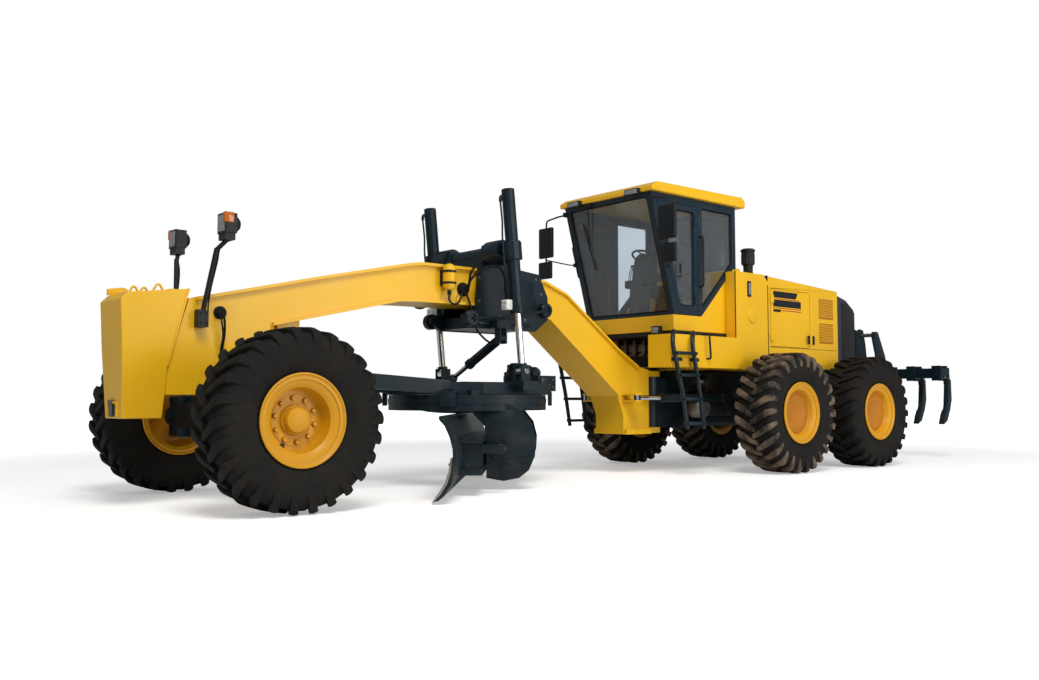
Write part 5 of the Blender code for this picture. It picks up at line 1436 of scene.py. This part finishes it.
dome = turned([(0.100, 0), (0.100, 0.04), (0.118, 0.045), (0.118, 0.075), (0.105, 0.110), (0.070, 0.135),
               (0.025, 0.145)],
              spot(0.80, 0.30, 2.529), (0, 0, 1), sides=36)
settle(dome, "bright_dome", mirror_silver, "chassis")

# %% exhaust and air cleaner
pipe = turned([(0.066, 0), (0.066, 0.03), (0.085, 0.035), (0.085, 0.20), (0.098, 0.22), (0.098, 0.24),
               (0.075, 0.255)],
              spot(0.42, 0.42, 2.70), (0, 0, 1), sides=28)
settle(pipe, "exhaust_cap", soot_black, "chassis")
SLOT_COUNT = 14
slots = []
for i in range(SLOT_COUNT):
    angle = 2 * math.pi * i / SLOT_COUNT
    slots.append(box(spot(0.42 + 0.086 * math.cos(angle) - 0.004, 0.42 + 0.086 * math.sin(angle) - 0.004,
                          2.75),
                     spot(0.42 + 0.086 * math.cos(angle) + 0.004, 0.42 + 0.086 * math.sin(angle) + 0.004,
                          2.89), 0.0))
settle(slots, "exhaust_slots", engine_grey, "chassis")
cleaner = turned([(0.09, 0), (0.09, 0.10), (0.13, 0.12), (0.13, 0.20), (0.10, 0.22)],
                 spot(0.20, -0.40, 2.50), (0, 0, 1),
                 sides=32)
settle(cleaner, "air_cleaner", plastic_black, "chassis")

# %% hood latches, louvres and the blank plate
LATCH_LOW, LATCH_HIGH = 1.655, 1.775
door_latch = box(spot(-0.250, 0.9255, LATCH_LOW), spot(-0.205, 0.936, LATCH_HIGH), 0.006)
both_sides(door_latch, "door_latch", plastic_black, "hood_door_SIDE_body")
panel_latch = box(spot(-0.40, SIDE - 0.002, LATCH_LOW), spot(-0.355, SIDE + 0.012, LATCH_HIGH), 0.006)
both_sides(panel_latch, "panel_latch", plastic_black, "chassis")
LOUVRE_COUNT = 11
louvres, frames = [], []
for low, high in ((1.68, 1.96), (2.02, 2.30)):
    frames.append(box(spot(-0.875, SIDE - 0.004, low), spot(-0.525, SIDE + 0.003, high), 0.003))
    for i in range(LOUVRE_COUNT):
        z = low + 0.016 + (high - low - 0.032) * (i + 0.5) / LOUVRE_COUNT
        louvres.append(box(spot(-0.860, SIDE + 0.001, z - 0.003), spot(-0.540, SIDE + 0.009, z + 0.006),
                           0.002, 1))
# The frames behind the slats take the darker copy of the yellow: painted shade in the gaps between the slats.
both_sides(frames, "louvre_frames", wheel_orange, "chassis")
both_sides(louvres, "louvre_slats", body_yellow, "chassis")

# %% the blank plate and its red lines
PLATE_FACE = 0.9003
PLATE_THICK = 0.0016
PLATE_FRONT, PLATE_BACK = 0.54, -0.09


def strip(low, high, front=PLATE_FRONT, back=PLATE_BACK, lean=0.0):
    """A flat strip along the door, between two heights. Its lower rear corner may stand further forward."""
    return [(front, high), (back, high), (back + lean, low), (front, low)]


PLATES = [strip(2.250, 2.335, back=-0.02, lean=0.05), strip(2.130, 2.222),
          strip(2.060, 2.095, back=0.36, lean=0.03)]
LINES = [strip(2.230, 2.240, back=-0.06), strip(2.108, 2.118), [(0.34, 2.090), (-0.09, 2.090), (-0.09, 2.078),
                                                                (0.35, 2.078)]]
for name, outlines, finish in (("blank_plate", PLATES, plastic_black), ("blank_stripe", LINES, stripe_red)):
    for side, sign in (("left", 1), ("right", -1)):
        shapes = []
        for outline in outlines:
            shape = plate(outline, spot(0, 0, 0), (1, 0, 0), (0, 0, 1), PLATE_THICK, 0)
            out = sign * (PLATE_FACE + PLATE_THICK / 2) + PLATE_THICK / 2
            shape.data.transform(Matrix.Translation((0, out, 0)))
            shapes.append(shape)
        settle(shapes, f"{name}_{side}", finish, f"hood_door_{side}_body", smooth=0)

# %% tail
BAR_COUNT_TAIL = 13
BAR_STEP_TAIL = 0.045
bars = []
for i in range(BAR_COUNT_TAIL):
    z = 1.53 + BAR_STEP_TAIL * i
    bars.append(box(spot(-1.505, -0.69, z), spot(-1.490, 0.69, z + 0.022), 0.003, 1))
for y in (-0.70, 0.0, 0.66):
    bars.append(box(spot(-1.515, y, 1.50), spot(-1.495, y + 0.04, 2.12), 0.003, 1))
settle(bars, "tail_grille", cowl_grey, "chassis")
guard = [plate([(-1.20, 1.50), (-1.53, 1.50), (-1.53, 2.16), (-1.34, 2.29), (-1.20, 2.29)],
               spot(0, 0.848, 0), (1, 0, 0),
               (0, 0, 1), 0.008, 0.003)]
both_sides(guard, "tail_side_panel", soot_black, "chassis")
tail_hump = plate([(-1.10, 1.62), (-1.62, 1.62), (-1.66, 1.70), (-1.66, 2.04), (-1.60, 2.12), (-1.30, 2.14)],
                  spot(0, 0.72, 0), (1, 0, 0), (0, 0, 1), 0.16, 0.03)
both_sides(tail_hump, "tail_guard", cowl_grey, "chassis")
tail_lamp = box(spot(-1.672, 0.585, 1.74), spot(-1.655, 0.695, 1.90), 0.006)
both_sides(tail_lamp, "tail_lamp", red_lens, "chassis")
tail_corner = box(spot(-1.672, 0.585, 1.91), spot(-1.655, 0.695, 1.98), 0.006)
both_sides(tail_corner, "tail_indicator", amber_lens, "chassis")
print("body dressed")

# %% [markdown]
# ## Ripper
# Each shank is held by a pin in its pocket and ends in a forged tip. The beam carries pocket frames even
# where no shank is fitted.
# %% shank tips, pins and pockets
SHANKS = [0.407 * i for i in (-3, -2, 0, 2, 3)]
POCKETS = [0.407 * i for i in range(-3, 4)]
pins, pockets = [], []
for y in POCKETS:
    pockets.append(box(spot(-3.415, y - 0.072, 1.195), spot(-3.395, y + 0.072, 1.425), 0.006))
    pockets.append(box(spot(-3.205, y - 0.072, 1.195), spot(-3.185, y + 0.072, 1.425), 0.006))
    pins.append(turned([(0.020, 0), (0.020, 0.17), (0.026, 0.172), (0.026, 0.184)],
                       spot(-3.30, y - 0.09, 1.245),
                       (0, 1, 0), sides=16))
settle(pockets, "ripper_pockets", frame_blue, "ripper_body")
settle(pins, "ripper_pins", cast_steel, "ripper_body")
pivots = [turned([(0.070, 0), (0.070, 0.014), (0.050, 0.020)], spot(-2.25, sign * 0.3605, 0.95),
                 (0, sign, 0), sides=24)
          for sign in (1, -1)]
settle(pivots, "ripper_pivot_caps", cast_steel, "chassis")
ripper_gland = turned([(0.060, 0), (0.060, 0.05), (0.046, 0.056)],
                      spot(-2.19, 0, 1.29) + (spot(-3.06, 0, 1.94) - spot(-2.19, 0,
                                                                          1.29)).normalized() * 0.80,
                      spot(-3.06, 0, 1.94) - spot(-2.19, 0, 1.29), sides=24)
settle(ripper_gland, "ripper_gland", frame_blue, "ripper_cylinder")
print("ripper dressed")

# %% [markdown]
# ## Operator's seat
# The cushions are sewn foam, so each starts a little small, is filled like a bag by a short cloth
# simulation, and gets its seam and its sewn channels afterwards. Under them stands a sprung pedestal.
# %% sewn cushions
CLOTH_FRAMES = 20
CLOTH_PRESSURE = 4.0
VOXEL = 0.007
SEAM_WIDTH = 0.005
SEAM_DEPTH = 0.004


def corners_of(piece):
    """The places of a mesh's points, as rows."""
    places = np.empty(len(piece.data.vertices) * 3)
    piece.data.vertices.foreach_get("co", places)
    return places.reshape(-1, 3)


def filled(piece, most):
    """Swells a closed shape like a stuffed bag; no point moves further than `most`."""
    pick(piece)
    piece.data.remesh_voxel_size = VOXEL
    bpy.ops.object.voxel_remesh()
    start = corners_of(piece)
    cloth = piece.modifiers.new("Cloth", "CLOTH")
    cloth.settings.use_pressure = True
    cloth.settings.uniform_pressure_force = CLOTH_PRESSURE
    cloth.settings.effector_weights.gravity = 0.0
    cloth.point_cache.frame_start = 1
    cloth.point_cache.frame_end = CLOTH_FRAMES
    for frame in range(1, CLOTH_FRAMES + 1):
        scene.frame_set(frame)
    pick(piece)
    bpy.ops.object.modifier_apply(modifier="Cloth")
    moved = corners_of(piece) - start
    distance = np.linalg.norm(moved, axis=1, keepdims=True)
    capped = start + moved * np.minimum(1.0, most / np.maximum(distance, 1e-9))
    piece.data.vertices.foreach_set("co", capped.ravel())
    piece.data.update()
    scene.frame_set(1)
    return piece


def stitched(piece, channels, across, depth, width=0.009):
    """Presses a groove into a cushion at each station along one axis, and a seam round its middle height."""
    places = corners_of(piece)
    middle = (places.min(axis=0) + places.max(axis=0)) / 2
    inward = middle - places
    for station in channels:
        pressed = np.exp(-((places[:, across] - station) / width) ** 2) * depth
        places[:, 2] += np.sign(inward[:, 2]) * pressed
    seam = np.exp(-((places[:, 2] - middle[2]) / SEAM_WIDTH) ** 2) * SEAM_DEPTH
    flat = inward.copy()
    flat[:, 2] = 0
    places += flat / np.maximum(np.linalg.norm(flat, axis=1, keepdims=True), 1e-6) * seam[:, None]
    piece.data.vertices.foreach_set("co", places.ravel())
    piece.data.update()
    pick(piece)
    smooth = piece.modifiers.new("Subdivision", "SUBSURF")
    smooth.levels = 1
    smooth.render_levels = 1
    bpy.ops.object.modifier_apply(modifier="Subdivision")
    return piece


# %% cushions in place
SEAT_SWELL = 0.022
seat_pad = filled(box((-0.225, -0.225, -0.042), (0.225, 0.225, 0.042), 0.026, 4), SEAT_SWELL)
seat_pad = stitched(seat_pad, (-0.13, -0.01, 0.11), 0, 0.009)
seat_pad.data.transform(Matrix.Translation(spot(1.56, 0, 2.325)) @ Matrix.Rotation(math.radians(-3), 4, "Y"))
back_pad = filled(box((-0.295, -0.215, -0.034), (0.295, 0.215, 0.034), 0.024, 4), SEAT_SWELL)
back_pad = stitched(back_pad, (-0.17, -0.05, 0.07, 0.19), 0, 0.008)
BACK_LEAN = math.radians(-97.1)
back_pad.data.transform(Matrix.Translation(spot(1.295, 0, 2.655)) @ Matrix.Rotation(BACK_LEAN, 4, "Y"))
for pad, name in ((seat_pad, "seat_cushion"), (back_pad, "back_cushion")):
    settle(pad, name, seat_cloth, "chassis", smooth=60)
    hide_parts("operator_seat")

# %% pedestal and arms
pedestal = [box(spot(1.38, -0.16, 1.937), spot(1.72, 0.16, 1.975), 0.008),
            box(spot(1.34, -0.20, 2.235), spot(1.76, 0.20, 2.268), 0.008)]
BELLOWS_FOLDS = 5
for i in range(BELLOWS_FOLDS):
    low = 1.975 + 0.052 * i
    pedestal.append(box(spot(1.405, -0.135, low), spot(1.695, 0.135, low + 0.053), 0.022, 3))
back_shell = box((-0.30, -0.20, -0.012), (0.28, 0.20, 0.012), 0.008)
back_shell.data.transform(Matrix.Translation(spot(1.236, 0, 2.65)) @ Matrix.Rotation(BACK_LEAN, 4, "Y"))
pedestal += [back_shell, box(spot(1.22, -0.12, 2.25), spot(1.40, 0.12, 2.31), 0.010)]
seat_stand = settle(pedestal, "seat_pedestal", plastic_black, "chassis")
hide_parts("operator_seat")
arm = [box(spot(1.26, 0.268, 2.50), spot(1.60, 0.322, 2.545), 0.016, 3),
       tube(along([(1.285, 0.235, 2.42), (1.285, 0.295, 2.42), (1.285, 0.295, 2.52)]), 0.012, bend=0.03)]
both_sides(arm, "seat_arm", plastic_black, "chassis")
print("seat dressed")

# %% ripper cheeks, shank sleeves and teeth
cheek = plate([(-3.40, 1.42), (-3.36, 1.60), (-3.15, 1.985), (-3.00, 1.985), (-2.985, 1.90), (-3.08, 1.62),
               (-3.10, 1.42)],
              spot(0, 0.305, 0), (1, 0, 0), (0, 0, 1), 0.030, 0.004)
cheek_pin = turned([(0.055, 0), (0.055, 0.012), (0.035, 0.018)], spot(-3.06, 0.3055, 1.935), (0, 1, 0),
                   sides=24)
both_sides([cheek, cheek_pin], "ripper_cheek", frame_blue, "ripper_body")
settle(turned([(0.030, 0), (0.030, 0.56)], spot(-3.06, -0.28, 1.935), (0, 1, 0), sides=20),
       "ripper_cross_pin",
       cast_steel, "ripper_body")
SLEEVE = [(-3.508, 1.215), (-3.598, 1.215), (-3.608, 0.90), (-3.557, 0.745), (-3.445, 0.592), (-3.330, 0.534),
          (-3.392, 0.665), (-3.462, 0.805), (-3.482, 0.95)]
TOOTH = [(-3.500, 0.690), (-3.435, 0.578), (-3.318, 0.524), (-3.372, 0.655), (-3.430, 0.745)]
sleeves, teeth = [], []
for y in SHANKS:
    sleeves.append(plate(SLEEVE, spot(0, y + 0.036, 0), (1, 0, 0), (0, 0, 1), 0.072, 0.006))
    teeth.append(plate(TOOTH, spot(0, y + 0.046, 0), (1, 0, 0), (0, 0, 1), 0.092, 0.006))
settle(sleeves, "shank_sleeves", frame_blue, "ripper_body", smooth=30)
settle(teeth, "ripper_teeth", frame_blue, "ripper_body", smooth=30)
print("ripper teeth on")
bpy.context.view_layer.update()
